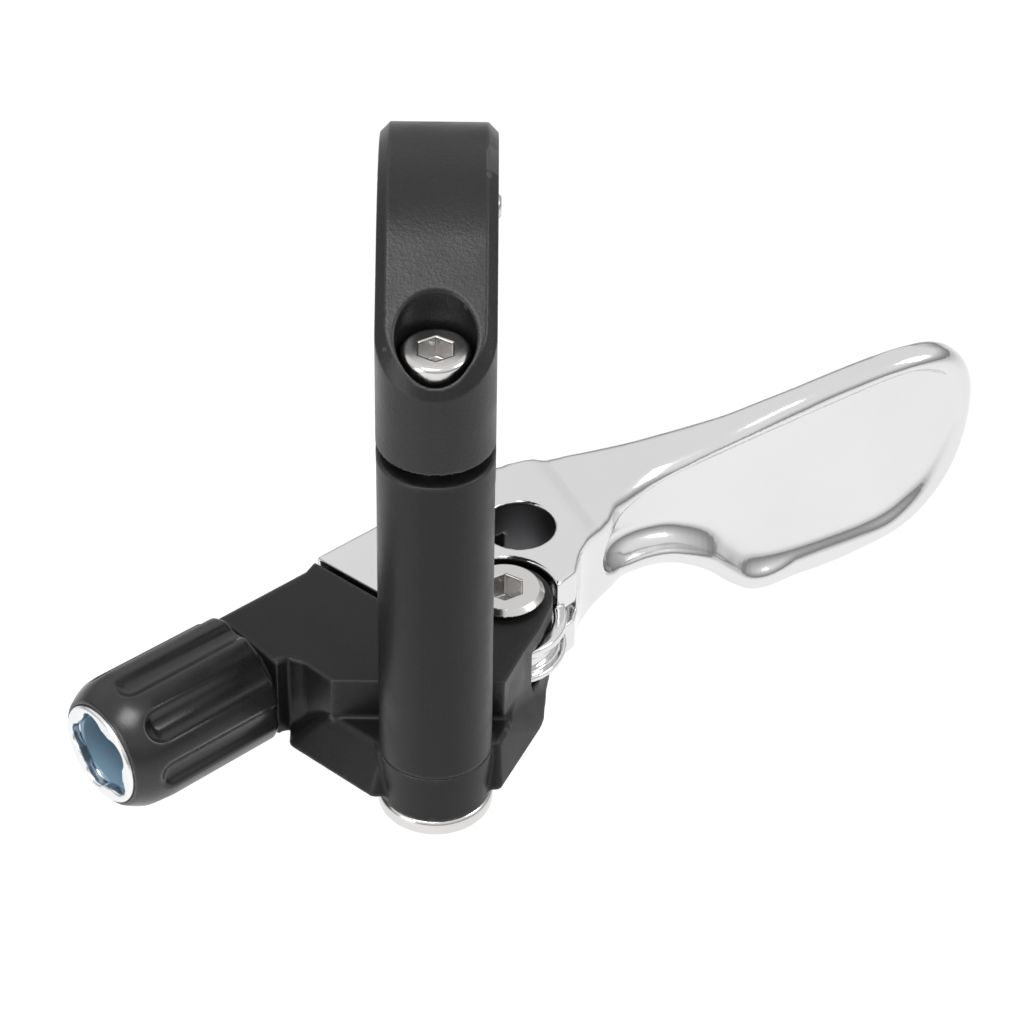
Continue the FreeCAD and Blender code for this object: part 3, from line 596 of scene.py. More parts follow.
@dataclass(frozen=True)
class PolishedLever(Metal):
    """Hand-polished aluminium whose bore and slot keep a rougher cut finish, darkened with painted shade.

    Args:
        bore: axis and radius of the cut hole, in millimetres.
        slot: cable line's origin, heading in degrees and slot height.
        painted_shade_colour: painted shade colour inside the bore and slot.
        slot_half: half the slot's height.
        slot_across: the slot's sides from the cable line.
        slot_end: the slot's far end along the cable line.
        cut_rough: roughness of the cut faces in the bore and slot.
    """

    bore: tuple[float, float, float] = (6.6, 8.7, 3.0)
    slot: tuple[float, float, float, float] = (-15.8, -5.8, 40.7, -33.2)
    painted_shade_colour: tuple[float, float, float] = (0.10, 0.10, 0.105)

    slot_half: float = 1.02
    slot_across: tuple[float, float] = (-3.2, 3.84)
    slot_end: float = 27.5
    cut_rough: float = 0.38

    def build(self) -> bpy.types.Material:
        """Makes the material."""
        n = Nodes(super().build())
        x, y, z = n.parts(n.place)
        bx, by, radius = (value * MM for value in self.bore)
        away = n.sum("SQRT", n.sum("ADD", n.sum("POWER", n.far(x, bx), 2.0), n.sum("POWER", n.far(y, by), 2.0)))
        hole = n.sum("LESS_THAN", away, radius)
        ox, oy, angle, level = self.slot
        c, s = math.cos(math.radians(angle)), math.sin(math.radians(angle))
        dx, dy = n.far(x, ox * MM), n.far(y, oy * MM)
        across = n.sum("ADD", n.sum("MULTIPLY", dx, -s), n.sum("MULTIPLY", dy, c))
        along = n.sum("ADD", n.sum("MULTIPLY", dx, c), n.sum("MULTIPLY", dy, s))
        slot = n.sum("LESS_THAN", n.sum("ABSOLUTE", n.far(z, level * MM)), self.slot_half * MM)
        for test in (n.sum("LESS_THAN", across, self.slot_across[1] * MM),
                     n.sum("GREATER_THAN", across, self.slot_across[0] * MM),
                     n.sum("LESS_THAN", along, self.slot_end * MM)):
            slot = n.sum("MULTIPLY", slot, test)
        # Mask of the bore and slot: a rougher cut finish, and painted shade that darkens them.
        cut_and_shaded = n.sum("MAXIMUM", hole, slot)
        colour, rough = n.shader.inputs["Base Color"], n.shader.inputs["Roughness"]
        # Painted shade: the bore and slot are coloured dark.
        n.put(colour, n.mix(cut_and_shaded, colour.links[0].from_socket, self.painted_shade_colour))
        n.put(rough, n.sum("MAXIMUM", rough.links[0].from_socket, n.sum("MULTIPLY", cut_and_shaded, self.cut_rough)))
        return n.material


@dataclass(frozen=True)
class Moulded:
    """Moulded plastic or rubber.

    Args:
        name: material name.
        colour: base colour.
        rough: mean roughness.
        grain: strength of the surface grain.
        coat: weight of a thin gloss layer.
    """

    name: str
    colour: tuple[float, float, float]
    rough: float
    grain: float = 0.1
    coat: float = 0.0

    def build(self) -> bpy.types.Material:
        """Makes the material."""
        n = Nodes(self.name)
        fine, patch = n.noise(5.0, 3.0), n.noise(0.3, 2.0)
        lighter = tuple(min(1, c * 1.3 + 0.004) for c in self.colour)
        n.put(n.shader.inputs["Base Color"], n.mix(patch, self.colour, lighter))
        n.put(n.shader.inputs["Roughness"], n.ramp(patch, 0.3, 0.7, self.rough * 0.85, self.rough * 1.15))
        n.put(n.shader.inputs["Coat Weight"], self.coat)
        n.put(n.shader.inputs["Coat Roughness"], 0.25)
        n.bump(fine, self.grain, 0.02)
        return n.material


class Finish(Enum):
    """Every finish on the object."""

    BLACK = BlastedBlack("blasted_black")
    CAP_FLAT = BlastedBlack("blasted_black_coarse", grain=0.9, rough=0.36, per_mm=3.6, shine=0.34)
    LEVER = PolishedLever("polished_lever", (0.70, 0.70, 0.705), 0.13, (0.2, 1, 1), 0.03)
    SCREW = Metal("turned_steel", (0.62, 0.61, 0.60), 0.20, (1, 1, 0.1), 0.12)
    BEARING = Metal("ground_steel", (0.60, 0.61, 0.63), 0.14, (1, 1, 0.1), 0.06)
    WIRE = Metal("spring_wire", (0.42, 0.42, 0.43), 0.3, (0.3, 0.3, 1), 0.1)
    SILVER = Metal("machined_mouth", (0.78, 0.79, 0.80), 0.22, (1, 1, 1), 0.12)
    LINER = Moulded("blue_grey_cup", (0.16, 0.25, 0.33), 0.42, 0.12)
    KNOB = Moulded("satin_knob", (0.006, 0.006, 0.0065), 0.27, 0.22, 0.0)
    PLASTIC = Moulded("black_acetal", (0.012, 0.012, 0.013), 0.45)
    RUBBER = Moulded("black_rubber", (0.014, 0.014, 0.014), 0.6, 0.25)

    def material(self) -> bpy.types.Material:
        """The finish's material, made once."""
        return bpy.data.materials.get(self.value.name) or self.value.build()


# ------------------------------------------------------------ pieces
@dataclass
class Piece:
    """One visible piece made from a field.

    Args:
        name: piece name.
        node: the frame's node it stands for.
        body: the body it rides on.
        slot: the record's material slot name; not used.
        finish: its finish.
        cell: grid step in millimetres.
    """

    name: str
    node: str
    body: str
    slot: str
    finish: Finish
    cell: float

    def build(self, solid: Solid) -> bpy.types.Object:
        """Meshes the field inside the node's box and hides the node.

        Args:
            solid: the piece's shape.

        Returns:
            The new object.
        """
        low, high = (np.array(c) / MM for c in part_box(self.node))
        vertices, faces = MESHER.surface(solid, low, high, self.cell)
        vertices = np.clip(vertices, low, high) * MM
        mesh = bpy.data.meshes.new(self.name)
        mesh.from_pydata(vertices.tolist(), [], faces.tolist())
        mesh.validate()
        mesh.shade_smooth()
        mesh.materials.append(self.finish.material())
        piece = bpy.data.objects.new(self.name, mesh)
        bpy.context.scene.collection.objects.link(piece)
        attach(piece, self.body)
        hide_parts(self.node)
        LOG.info("%s: %d faces", self.name, len(mesh.polygons))
        return piece


@dataclass(frozen=True)
class Sizes:
    """Driving sizes in millimetres, read by every sub-assembly."""

    bore: float = 11.1
    ring: float = 14.0
    width: float = 9.0
    column: float = 4.5
    column_y: float = -12.9
    shoulder: float = 2.0
    cable: float = 1.1
    flat_y: float = -10.2
    slit_top: float = -2.4
    slit_low: float = -3.7
    shelf: float = -33.1
    body_top: float = -29.3
    body_low: float = -36.9
    ear: float = 1.8
    ear_round: float = 3.9
    hub: float = 5.1
    pivot: tuple[float, float] = (5.4, 0.3)
    pin_y: float = 13.1
    pin: float = 1.0
    knuckle: float = 2.6
    screw_y: float = -13.8
    screw_seat: float = 3.6
    cable_angle: float = 40.7
    barrel: tuple[float, float, float] = (-15.8, -5.8, -33.1)
    paddle_angle: float = 24.9
    paddle: tuple[float, float, float] = (19.3, 19.5, 0.0)

    @property
    def cable_axes(self) -> Axes:
        """Along the cable line, across it to the thumb side, and up."""
        a = math.radians(self.cable_angle)
        return Axes((self.barrel[0], self.barrel[1], 0.0), (math.cos(a), math.sin(a), 0),
                    (-math.sin(a), math.cos(a), 0), (0, 0, 1))

    @property
    def barrel_axes(self) -> Axes:
        """Across, up, and outwards along the barrel."""
        a = math.radians(self.cable_angle)
        return Axes(self.barrel, (-math.sin(a), math.cos(a), 0), (0, 0, 1), (-math.cos(a), -math.sin(a), 0))

    @property
    def paddle_axes(self) -> Axes:
        """Along the paddle, up, and across it to the thumb side."""
        a = math.radians(self.paddle_angle)
        return Axes(self.paddle, (math.cos(a), math.sin(a), 0), (0, 0, 1), (-math.sin(a), math.cos(a), 0))

    @property
    def pivot_axes(self) -> Axes:
        """The lever's turning axis."""
        return upright(*self.pivot)


S = Sizes()


@dataclass
class Clamp:
    """The two halves of the bar clamp with pin and screw."""

    strut_slope: float = math.radians(31.8)
    ring_bevel: float = 0.8
    small_edge: float = 0.18
    slant: float = math.radians(33.0)
    counterbore: float = 3.0
    screw_head: float = 2.6
    screw: float = 1.5
    screw_length: float = 16.0
    head_height: float = 3.0
    screw_hex: tuple[float, float] = (2.5, 1.8)
    pin_proud: float = 0.3
    knuckle_half: float = 1.5
    knuckle_side: float = 0.15
    knuckle_gap: float = 0.35
    pocket_depth: float = 1.6
    pocket: tuple[tuple[float, float, float], ...] = (
        (-12.1, -11.9, 1.0), (-12.1, -17.9, 1.0), (-9.8, -19.4, 1.2), (-3.5, -16.4, 1.0), (-3.4, -14.6, 1.0),
        (-8.8, -10.4, 1.4))

    def envelope(self) -> Solid:
        """Space that the column's round back leaves."""
        round_back = PLAN.rod(S.column, -60, 60, at=(0, S.column_y))
        block = Solid(lambda p: np.maximum(np.abs(p[:, 0]) - S.width / 2, S.column_y - p[:, 1]))
        return Solid(lambda p: np.minimum(round_back.distance(p), block.distance(p)))

    def ring(self) -> Solid:
        """Bevelled disc that becomes the ring."""
        return SIDE.rod(S.ring, -S.width / 2, S.width / 2, self.ring_bevel, Edge.BEVEL)

    def bore(self) -> Solid:
        """Handlebar's place."""
        return SIDE.rod(S.bore, -40, 40)

    def knuckle(self, x0: float, x1: float, radius: float) -> Solid:
        """Round of the hinge between two widths."""
        return SIDE.rod(radius, x0, x1, 0.15, at=(S.pin_y, 0.0))

    def bracket(self) -> Solid:
        """Lower half, strut and column in one piece."""
        sin, cos, tan = (f(self.strut_slope) for f in (math.sin, math.cos, math.tan))
        y1, z1 = S.ring * sin, -S.ring * cos
        back = S.column_y - S.column
        web = SIDE.prism(corners([
            (back, S.slit_low), (back, S.shelf), (S.flat_y, S.shelf),
            (S.flat_y, z1 - (y1 - S.flat_y) * tan, 3.0), (y1, z1), (0, S.slit_low)]),
            -S.width / 2, S.width / 2, 0.25)
        below_slit = half_space((0, 0, S.slit_low), (0, 0, 1))
        rear = half_space((0, 0, 0), (0, 0, 1)).meet(half_space((0, 0, 0), (0, -1, 0)), 0.0, Edge.SHARP)
        keep = Solid(lambda p: np.minimum(below_slit.distance(p), rear.distance(p)))
        shape = web.join(self.ring().meet(keep, self.small_edge), 0.3)
        shape = shape.join(self.knuckle(-S.width / 2, S.width / 2, S.knuckle), 0.4)
        shape = shape.meet(self.envelope(), self.small_edge)
        shape = shape.cut(self.bore(), self.small_edge)
        half = self.knuckle_half + self.knuckle_side
        shape = shape.cut(self.knuckle(-half, half, S.knuckle + self.knuckle_gap), 0.1)
        shape = shape.cut(SIDE.rod(S.pin, -9, 9, at=(S.pin_y, 0.0)), 0.12)
        shape = shape.cut(PLAN.rod(self.screw + 0.03, -14, 0, at=(0, S.screw_y)), 0.2)
        pocket = corners(self.pocket)
        for side in (-1, 1):
            low, high = sorted((side * (S.width / 2 - self.pocket_depth), side * (S.width / 2 + 1)))
            shape = shape.cut(SIDE.prism(pocket, low, high, 0.35), 0.15)
        return shape

    def cap(self) -> Solid:
        """Upper half with the slanted flat and the screw's counterbore."""
        ty, tz = -S.ring * math.sin(self.slant), S.ring * math.cos(self.slant)
        back = S.column_y - S.column
        slope = math.tan(self.slant)
        nose = SIDE.prism(corners([(ty, tz), (back, tz + (back - ty) * slope), (back, S.slit_top),
                                   (0, S.slit_top), (0, S.ring * 0.6)]), -S.width / 2, S.width / 2, 0.01)
        above_slit = half_space((0, 0, S.slit_top), (0, 0, -1))
        above_pin = half_space((0, 0, 0), (0, 0, -1))
        front = half_space((0, 0, 0), (0, 1, 0))
        keep = Solid(lambda p: np.minimum(np.maximum(above_slit.distance(p), front.distance(p)),
                                          above_pin.distance(p)))
        disc = SIDE.rod(S.ring, -S.width / 2, S.width / 2, 0.01)
        shape = Solid(lambda p: np.minimum(nose.distance(p), disc.meet(keep, 0.02).distance(p)))
        shape = shape.meet(self.envelope(), 0.05)
        slant = half_space((0, ty, tz), (0, -slope, 1))
        hoop = Solid(lambda p: np.hypot(p[:, 1], p[:, 2]) - S.ring)
        envelope = self.envelope()

        def crown(p: Array) -> Array:
            return np.where((p[:, 1] < ty) & (p[:, 2] > S.slit_top), slant.distance(p), hoop.distance(p))

        shape = shape.meet(Solid(lambda p: bevel_max(crown(p), envelope.distance(p), self.ring_bevel)), 0.02)
        half, side = self.knuckle_half, S.width / 2 + 1
        for x0, x1 in ((-side, -half), (half, side)):
            shape = shape.cut(self.knuckle(x0, x1, S.knuckle + self.knuckle_gap), 0.1)
        shape = shape.join(self.knuckle(-half, half, S.knuckle), 0.2)
        shape = shape.cut(self.bore(), self.small_edge)
        shape = shape.cut(SIDE.rod(S.pin + 0.03, -9, 9, at=(S.pin_y, 0.0)), 0.1)
        shape = shape.cut(PLAN.rod(self.screw + 0.3, -9, 9, at=(0, S.screw_y)), 0.05)
        return shape.cut(PLAN.rod(self.counterbore, S.screw_seat, 30, 0.3, at=(0, S.screw_y)), 0.2)

    def bolt(self) -> Solid:
        """Socket head screw."""
        axes = upright(0, S.screw_y)
        seat, top = S.screw_seat, S.screw_seat + self.head_height
        across, deep = self.screw_hex
        shank = axes.rod(self.screw, seat - self.screw_length, seat + 1, 0.3, Edge.BEVEL)
        shape = axes.rod(self.screw_head, seat, top, 0.4).join(shank, 0.1)
        shape = shape.cut(axes.hexagon(across, top - deep, top + 1), 0.12)
        return shape.cut(axes.dish(1.62, 0.35, top), 0.03)

    def pin(self) -> Solid:
        """Hinge pin."""
        end = S.width / 2 + self.pin_proud
        return SIDE.rod(S.pin, -end, end, 0.2, Edge.BEVEL, (S.pin_y, 0.0))

    def build(self) -> None:
        """Makes every piece of the clamp."""
        black, steel = "black_anodised", "screw_steel"
        Piece("bracket", "clamp_bracket", "base", black, Finish.BLACK, 0.2).build(self.bracket())
        Piece("cap", "clamp_cap", "cap", black, Finish.CAP_FLAT, 0.14).build(self.cap())
        Piece("cap_screw", "clamp_bolt", "clamp_screw", steel, Finish.SCREW, 0.08).build(self.bolt())
        Piece("clamp_pin", "hinge_pin", "base", steel, Finish.SCREW, 0.08).build(self.pin())


@dataclass
class Body:
    """The forked body and the screw that holds it on the column."""

    edge: float = 0.22
    side_edge: float = 1.1
    block_end: float = 10.9
    end_slant: float = 1.4
    inner: float = -4.6
    side: float = 3.9
    neck: float = 0.8
    boss_end: float = -37.65
    disc: tuple[float, float] = (4.6, 1.5)
    foot_screw: tuple[float, float] = (2.5, 11.5)
    foot_hex: tuple[float, float] = (4.0, 2.1)
    seal_seat: tuple[float, float] = (3.45, 0.95)
    stem_hole: tuple[float, float] = (2.53, 7.9)

    def end_face(self, gap: float) -> tuple[Array, Array]:
        """Both ends of the butt joint with the lever."""
        c = S.cable_axes
        return (c.place(self.block_end + gap, self.side, 0),
                c.place(self.block_end + self.end_slant + gap, self.inner, 0))

    def plate(self) -> Solid:
        """Upper plan outline at full height."""
        c, px, py = S.cable_axes, *S.pivot
        thumb = np.array(c.v)
        side = self.side - self.side_edge
        tip = np.array([px, py, 0]) + thumb * S.ear_round
        points = [c.place(self.neck, side, 0), c.place(self.block_end, side, 0), self.end_face(0)[1], tip,
                  (px + S.ear_round * 0.95, py - S.ear_round * 0.30), (8.3, -3.4, 2.0), (7.0, -6.2),
                  (5.4, S.flat_y), (-8.2, S.flat_y), (*c.place(2.6, -5.2, 0)[:2], 1.5),
                  (*c.place(1.6, -3.4, 0)[:2], 0.6), c.place(self.neck, -3.0, 0)]
        return PLAN.prism(corners(points), S.body_low, S.body_top, self.edge)

    def block(self) -> Solid:
        """Block on the cable line."""
        c = S.cable_axes
        far, near = self.end_face(0)
        plan = [c.place(self.neck, 0, 0), far, near, c.place(self.neck, -self.side, 0)]
        straight = PLAN.prism(corners(plan), S.body_low, S.body_top, 0.2)

        def distance(p: Array) -> Array:
            u, v, w = c.local(p)
            across = round_max(v - self.side, slab(w, S.body_low, S.body_top), self.side_edge)
            slant = (self.side - v) * self.end_slant / (self.side - self.inner)
            ends = np.maximum(self.neck - u, u - self.block_end - slant)
            return round_max(np.maximum(across, -self.side - v), ends, 0.15)

        block = Solid(distance)
        return Solid(lambda p: np.minimum(block.distance(p), straight.distance(p)))

    def wings(self) -> Solid:
        """Feet that spread from the shelf down to the bottom."""
        shelf = [(-8.6, -7.0), (-8.2, -10.2), (-4.7, -14.0), (4.6, -14.0), (5.9, -9.4), (8.6, -1.0)]
        foot = [(-11.9, -7.0), (-11.9, -9.6), (-5.0, -15.6), (5.2, -14.6), (8.8, -6.6), (9.2, -1.0)]
        planes = []
        middle = np.array([0.0, -8.0, -35.0])
        for i in range(len(shelf)):
            j = (i + 1) % len(shelf)
            a, b = np.array([*foot[i], S.body_low]), np.array([*foot[j], S.body_low])
            up = np.array([*shelf[i], S.shelf])
            n = np.cross(b - a, up - a)
            n = n / np.linalg.norm(n)
            planes.append((a, n if (middle - a) @ n < 0 else -n))

        def distance(p: Array) -> Array:
            d = np.maximum(p[:, 2] - S.shelf, S.body_low - p[:, 2])
            for a, n in planes:
                d = round_max(d, (p - a) @ n, 0.3)
            return d

        return Solid(distance)

    def solid(self) -> Solid:
        """The whole body."""
        pivot = S.pivot_axes
        shape = self.plate().join(self.block(), 0.1)
        shape = shape.join(pivot.rod(S.ear_round, S.body_low, S.body_top, self.edge), 0.1)
        shape = shape.join(self.wings(), 0.4)
        shape = shape.join(PLAN.rod(S.column, self.boss_end, S.shelf, 0.15, at=(0, S.column_y)), 0.3)
        low, high = S.body_low + S.ear, S.body_top - S.ear
        c = S.cable_axes
        far, near = self.end_face(0)
        px, py = S.pivot
        thumb = np.array(c.v)
        swing = corners([(px, py), near, far + thumb * 8, (px + 20, py + 12), (px + 20, py - 9),
                         (px + 2.2, py - 5.0)])
        gap = pivot.rod(S.hub + 0.4, low, high)
        shape = shape.cut(gap, 0.12).cut(PLAN.prism(swing, low, high, 0.05), 0.12)
        shape = shape.cut(pivot.rod(S.shoulder, high - 1, S.body_top + 1), 0.05)
        barrel, (seat, seat_deep), (stem, stem_deep) = S.barrel_axes, self.seal_seat, self.stem_hole
        shape = shape.cut(barrel.rod(seat, -self.neck - seat_deep, 1), 0.15)
        return shape.cut(barrel.rod(stem, -stem_deep, 1), 0.05).cut(barrel.rod(S.cable, -14, 1), 0.2)

    def screw(self) -> Solid:
        """Flanged screw from below."""
        axes, top = upright(0, S.column_y), self.boss_end
        (disc, thick), (radius, length), (across, deep) = self.disc, self.foot_screw, self.foot_hex
        shank = axes.rod(radius, top - 0.05, top + length, 0.3, Edge.BEVEL)
        shape = axes.rod(disc, top - thick, top, 0.45).join(shank, 0.05)
        return shape.cut(axes.hexagon(across, top - 3.35, top - thick + deep), 0.15)

    def build(self) -> None:
        """Makes the body's pieces."""
        Piece("body", "shifter_body", "base", "black_anodised", Finish.BLACK, 0.16).build(self.solid())
        Piece("foot_screw", "bracket_screw", "base", "screw_steel", Finish.SCREW, 0.12).build(self.screw())


@dataclass
class Pivot:
    """The flanged bolt the lever turns on."""

    flange: float = 3.3
    thick: float = 0.9
    hexagon: float = 2.8
    hex_depth: float = 2.2
    thread: float = 1.5

    def bolt(self) -> Solid:
        """Flange, shoulder and thread."""
        axes, top = S.pivot_axes, S.body_top + self.thick
        shape = axes.rod(self.flange, S.body_top, top, 0.5, Edge.BEVEL)
        step = S.body_low + S.ear
        shape = shape.join(axes.rod(S.shoulder, step, S.body_top + 0.1), 0.05)
        shape = shape.join(axes.rod(self.thread, S.body_low, step + 0.1, 0.2, Edge.BEVEL), 0.05)
        shape = shape.cut(axes.hexagon(self.hexagon, top - self.hex_depth, top + 1), 0.1)
        return shape.cut(axes.dish(1.85, 0.3, top), 0.03)

    def build(self) -> None:
        """Makes the bolt."""
        Piece("pivot_screw", "pivot_bolt", "base", "screw_steel", Finish.SCREW, 0.08).build(self.bolt())


@dataclass
class Barrel:
    """Cable adjuster: fluted knob and silver threaded core."""

    radius: float = 5.65
    length: float = 13.6
    flutes: int = 8
    flute: float = 1.6
    flute_depth: float = 0.75
    flute_end: float = 3.0
    shoulder: float = 3.4
    taper: float = 1.1
    rim_round: float = 0.3
    hollow: float = 4.55
    core: float = 4.2
    lip: float = 0.35
    lobes: int = 5
    lobe: float = 1.3
    lobe_at: float = 2.35
    lip_thick: float = 0.8
    stem: tuple[float, float] = (2.5, 7.3)
    cup: tuple[float, float] = (3.53, 8.0)
    housing: float = 3.05

    def knob(self) -> Solid:
        """Fluted sleeve with a rounded outer end."""
        axes = S.barrel_axes
        end = self.length
        arc = (self.shoulder ** 2 + self.taper ** 2) / (2 * self.taper)
        rise = [self.shoulder * k / 10 for k in range(11)]
        rim = [(self.radius - arc + math.sqrt(arc ** 2 - h ** 2), end - self.shoulder + h) for h in rise]
        shape = axes.turned(corners([(-1.0, 0.0), (self.radius - 0.1, 0.0, 0.5), *rim[:-1],
                                     (*rim[-1], self.rim_round), (-1.0, end)]))
        reach = self.radius + self.flute - self.flute_depth
        period = 2 * math.pi / self.flutes

        def cutter(p: Array) -> Array:
            u, v, w = axes.local(p)
            angle = np.arctan2(u, v)
            angle = angle - np.round(angle / period) * period
            r = np.hypot(u, v)
            side, out = r * np.sin(angle), r * np.cos(angle) - reach
            return np.sqrt(side ** 2 + out ** 2 + np.maximum(w - end + self.flute_end, 0) ** 2) - self.flute

        shape = shape.cut(Solid(cutter), 0.3)
        return shape.cut(axes.rod(self.hollow, -1, 5.0), 0.1).cut(axes.rod(self.core, 4, end + 1), 0.08)

    def silver(self) -> Solid:
        """Core with cup, lobed mouth and stem."""
        axes, mouth = S.barrel_axes, self.length + self.lip
        (stem, stem_in), (cup, cup_deep) = self.stem, self.cup
        shape = axes.rod(self.core, 5.0, mouth, 0.25).join(axes.rod(stem, -stem_in, 6, 0.3, Edge.BEVEL), 0.05)
        shape = shape.cut(axes.rod(cup, mouth - cup_deep, mouth - self.lip_thick), 0.03)
        shape = shape.cut(axes.rod(self.housing, mouth - 2, mouth + 2), 0.08)
        period = 2 * math.pi / self.lobes

        def lobes(p: Array) -> Array:
            u, v, w = axes.local(p)
            angle = np.arctan2(u, v) - math.radians(18)
            angle = angle - np.round(angle / period) * period
            r = np.hypot(u, v)
            round_ = np.hypot(r * np.sin(angle), r * np.cos(angle) - self.lobe_at) - self.lobe
            return np.maximum(round_, mouth - self.lip_thick - w)

        return shape.cut(Solid(lobes), 0.25).cut(axes.rod(S.cable, -9, mouth), 0.1)

    def build(self) -> None:
        """Makes knob and core."""
        Piece("knob", "barrel_knob", "adjuster", "knob_black", Finish.KNOB, 0.13).build(self.knob())
        Piece("barrel", "barrel_core", "adjuster", "barrel_silver", Finish.SILVER, 0.11).build(self.silver())


@dataclass
class Lever:
    """The polished lever: hub, root, neck and dimpled paddle."""

    top: float = -29.4
    low: float = -37.0
    butt_gap: float = 0.3
    ear_gap: float = 0.4
    hole: tuple[float, float] = (6.6, 8.7)
    hole_radius: float = 2.95
    slot_z: float = -33.2
    slot_half: float = 1.0
    dimple: float = 1.5
    dimple_depth: float = 0.5
    neck_start: float = -13.5
    neck_fillet: float = 3.0
    thumb_fillet: float = 0.9
    bearing: float = 4.0
    hub_gap: float = 0.3
    groove_deep: float = 0.7
    body: Body = field(default_factory=Body)

    def outline(self) -> Outline:
        """The arm and paddle seen square on."""
        return smooth_loop([
            (-14, -29.4), (-9, -29.4), (-4, -29.3), (0, -29.1), (3.5, -28.8), (6.5, -28.3), (12.8, -26.6),
            (18.7, -25.7), (22.5, -25.6), (25.5, -26.3), (28.0, -28.3), (29.7, -31.2), (30.2, -34.0), (29.7, -37.2),
            (28.0, -40.6), (25.4, -43.3), (22, -45.2), (16, -46.5), (10.5, -46.8), (7.5, -46.2), (5.2, -44.5),
            (3.2, -42.5), (1, -40.8), (-1.3, -39.6), (-4.2, -38.7), (-7, -37.9), (-10, -37.2), (-14, -37.0)])

    def faces(self, w: Array, z: Array) -> tuple[Array, Array]:
        """Offsets of back and thumb faces at a place on the paddle."""
        knots = (-13.5, -9.5, -6, -2.5, 1, 4, 7.5, 12.5, 18, 22.5, 26, 28.6, 30.2)
        back = smooth_table(w, knots, (-7.0, -6.6, -4.6, -3.3, -2.8, -2.4, -2.2, -2.1, -2.1, -2.0, -1.5, -0.7, 0.2))
        thumb = smooth_table(w, knots, (3.1, 3.2, 2.9, 2.5, 2.2, 1.9, 1.4, 0.9, 0.8, 0.9, 1.4, 2.1, 2.7))
        lean = smooth_table(w, (-12, -6, 0, 6, 12), (0.0, 0.10, 0.14, 0.08, 0.0)) * (z + 34.5)
        return back + lean, thumb + lean * 0.6

    def root_outline(self) -> Outline:
        """Plan of the full-height part round the cable-end hole."""
        c, px, py = S.cable_axes, *S.pivot
        far, near = self.body.end_face(self.butt_gap)
        thumb = np.array(c.v)
        relief = S.ear_round + self.ear_gap
        paddle = S.paddle_axes
        return corners([
            far, c.place(30, self.body.side, 0), paddle.place(-11, 0, 3.2), paddle.place(-9.6, 0, -5.2),
            (12.0, 7.6), (11.2, 3.0), (px + relief, py + 0.9), (px, py),
            np.array([px, py, 0]) + thumb * relief, near + thumb * self.ear_gap])

    def arm(self) -> Solid:
        """Root, neck and paddle, flowing into each other on the side away from the thumb."""
        axes, outline, root = S.paddle_axes, self.outline(), self.root_outline()

        def distance(p: Array) -> Array:
            w, z, n = axes.local(p)
            back, thumb = self.faces(w, z)
            blade = np.maximum(np.maximum(n - thumb, back - n), self.neck_start - w)
            fillet = self.thumb_fillet + (self.neck_fillet - self.thumb_fillet) * ease(-n / 3)
            plan = -round_max(-blade, -root.distance(p[:, 0], p[:, 1]), fillet)
            level = outline.distance(np.maximum(w, self.neck_start + 1.5), z)
            rim = smooth_table(w, (-16, -12, -6, 0, 8), (0.3, 0.6, 1.4, 1.6, 1.25))
            edge = np.clip(n / 2, 0, 1)
            return round_max(plan, level, np.maximum(rim, 1.1 * edge))

        return Solid(distance)

    def recess(self) -> Solid:
        """Hollow in the paddle's back, scooped out at the neck."""
        axes = S.paddle_axes
        outline = smooth_loop([
            (-9.4, -33.0), (-8.2, -31.4), (-5.0, -30.9), (-1.6, -30.6), (2.6, -30.0), (8.5, -28.9), (15, -27.6),
            (21, -26.8), (24.6, -27.6), (27.4, -29.9), (28.6, -33.6), (28.1, -37.4), (26.3, -41.0), (23.6, -43.2),
            (20.6, -44.6), (15.8, -45.2), (10.2, -45.4), (7.0, -44.4), (4.6, -42.2), (2.4, -39.9), (-0.6, -38.0),
            (-3.6, -37.0), (-6.6, -36.2), (-8.8, -35.0)])

        def distance(p: Array) -> Array:
            w, z, n = axes.local(p)
            floor = smooth_table(w, (-11, -9, -7, -4.5, -2, 1, 5, 22, 27, 30),
                                 (-6.0, -4.4, -3.0, -2.0, -1.5, -1.3, -1.25, -1.2, -0.7, 0.3))
            fillet = 1.1 + 1.9 * ease((-31.0 - z) / 10)
            return round_max(outline.distance(w, z), n - floor, fillet)

        return Solid(distance)

    def dimples(self, shape: Solid) -> Solid:
        """Cuts the grip's round dimples into the thumb face."""
        axes = S.paddle_axes
        spots = [(24.1, -29.6), (19.9, -29.0), (26.4, -33.6), (22.0, -33.4), (17.9, -32.5), (14.2, -31.2),
                 (24.4, -37.7), (18.9, -37.6), (14.8, -36.1), (11.2, -34.6), (7.3, -35.6), (20.8, -41.4),
                 (15.2, -41.0), (10.7, -38.9), (6.9, -40.0), (10.9, -43.2)]
        centres = []
        for w, z in spots:
            _, thumb = self.faces(np.array([w]), np.array([z]))
            centres.append(axes.place(w, z, float(thumb[0]) + self.dimple - self.dimple_depth))
        many = np.array(centres)

        def distance(p: Array) -> Array:
            best = np.full(len(p), 1e9)
            for c in many:
                best = np.minimum(best, np.linalg.norm(p - c, axis=1))
            return best - self.dimple

        return shape.cut(Solid(distance), 0.15)

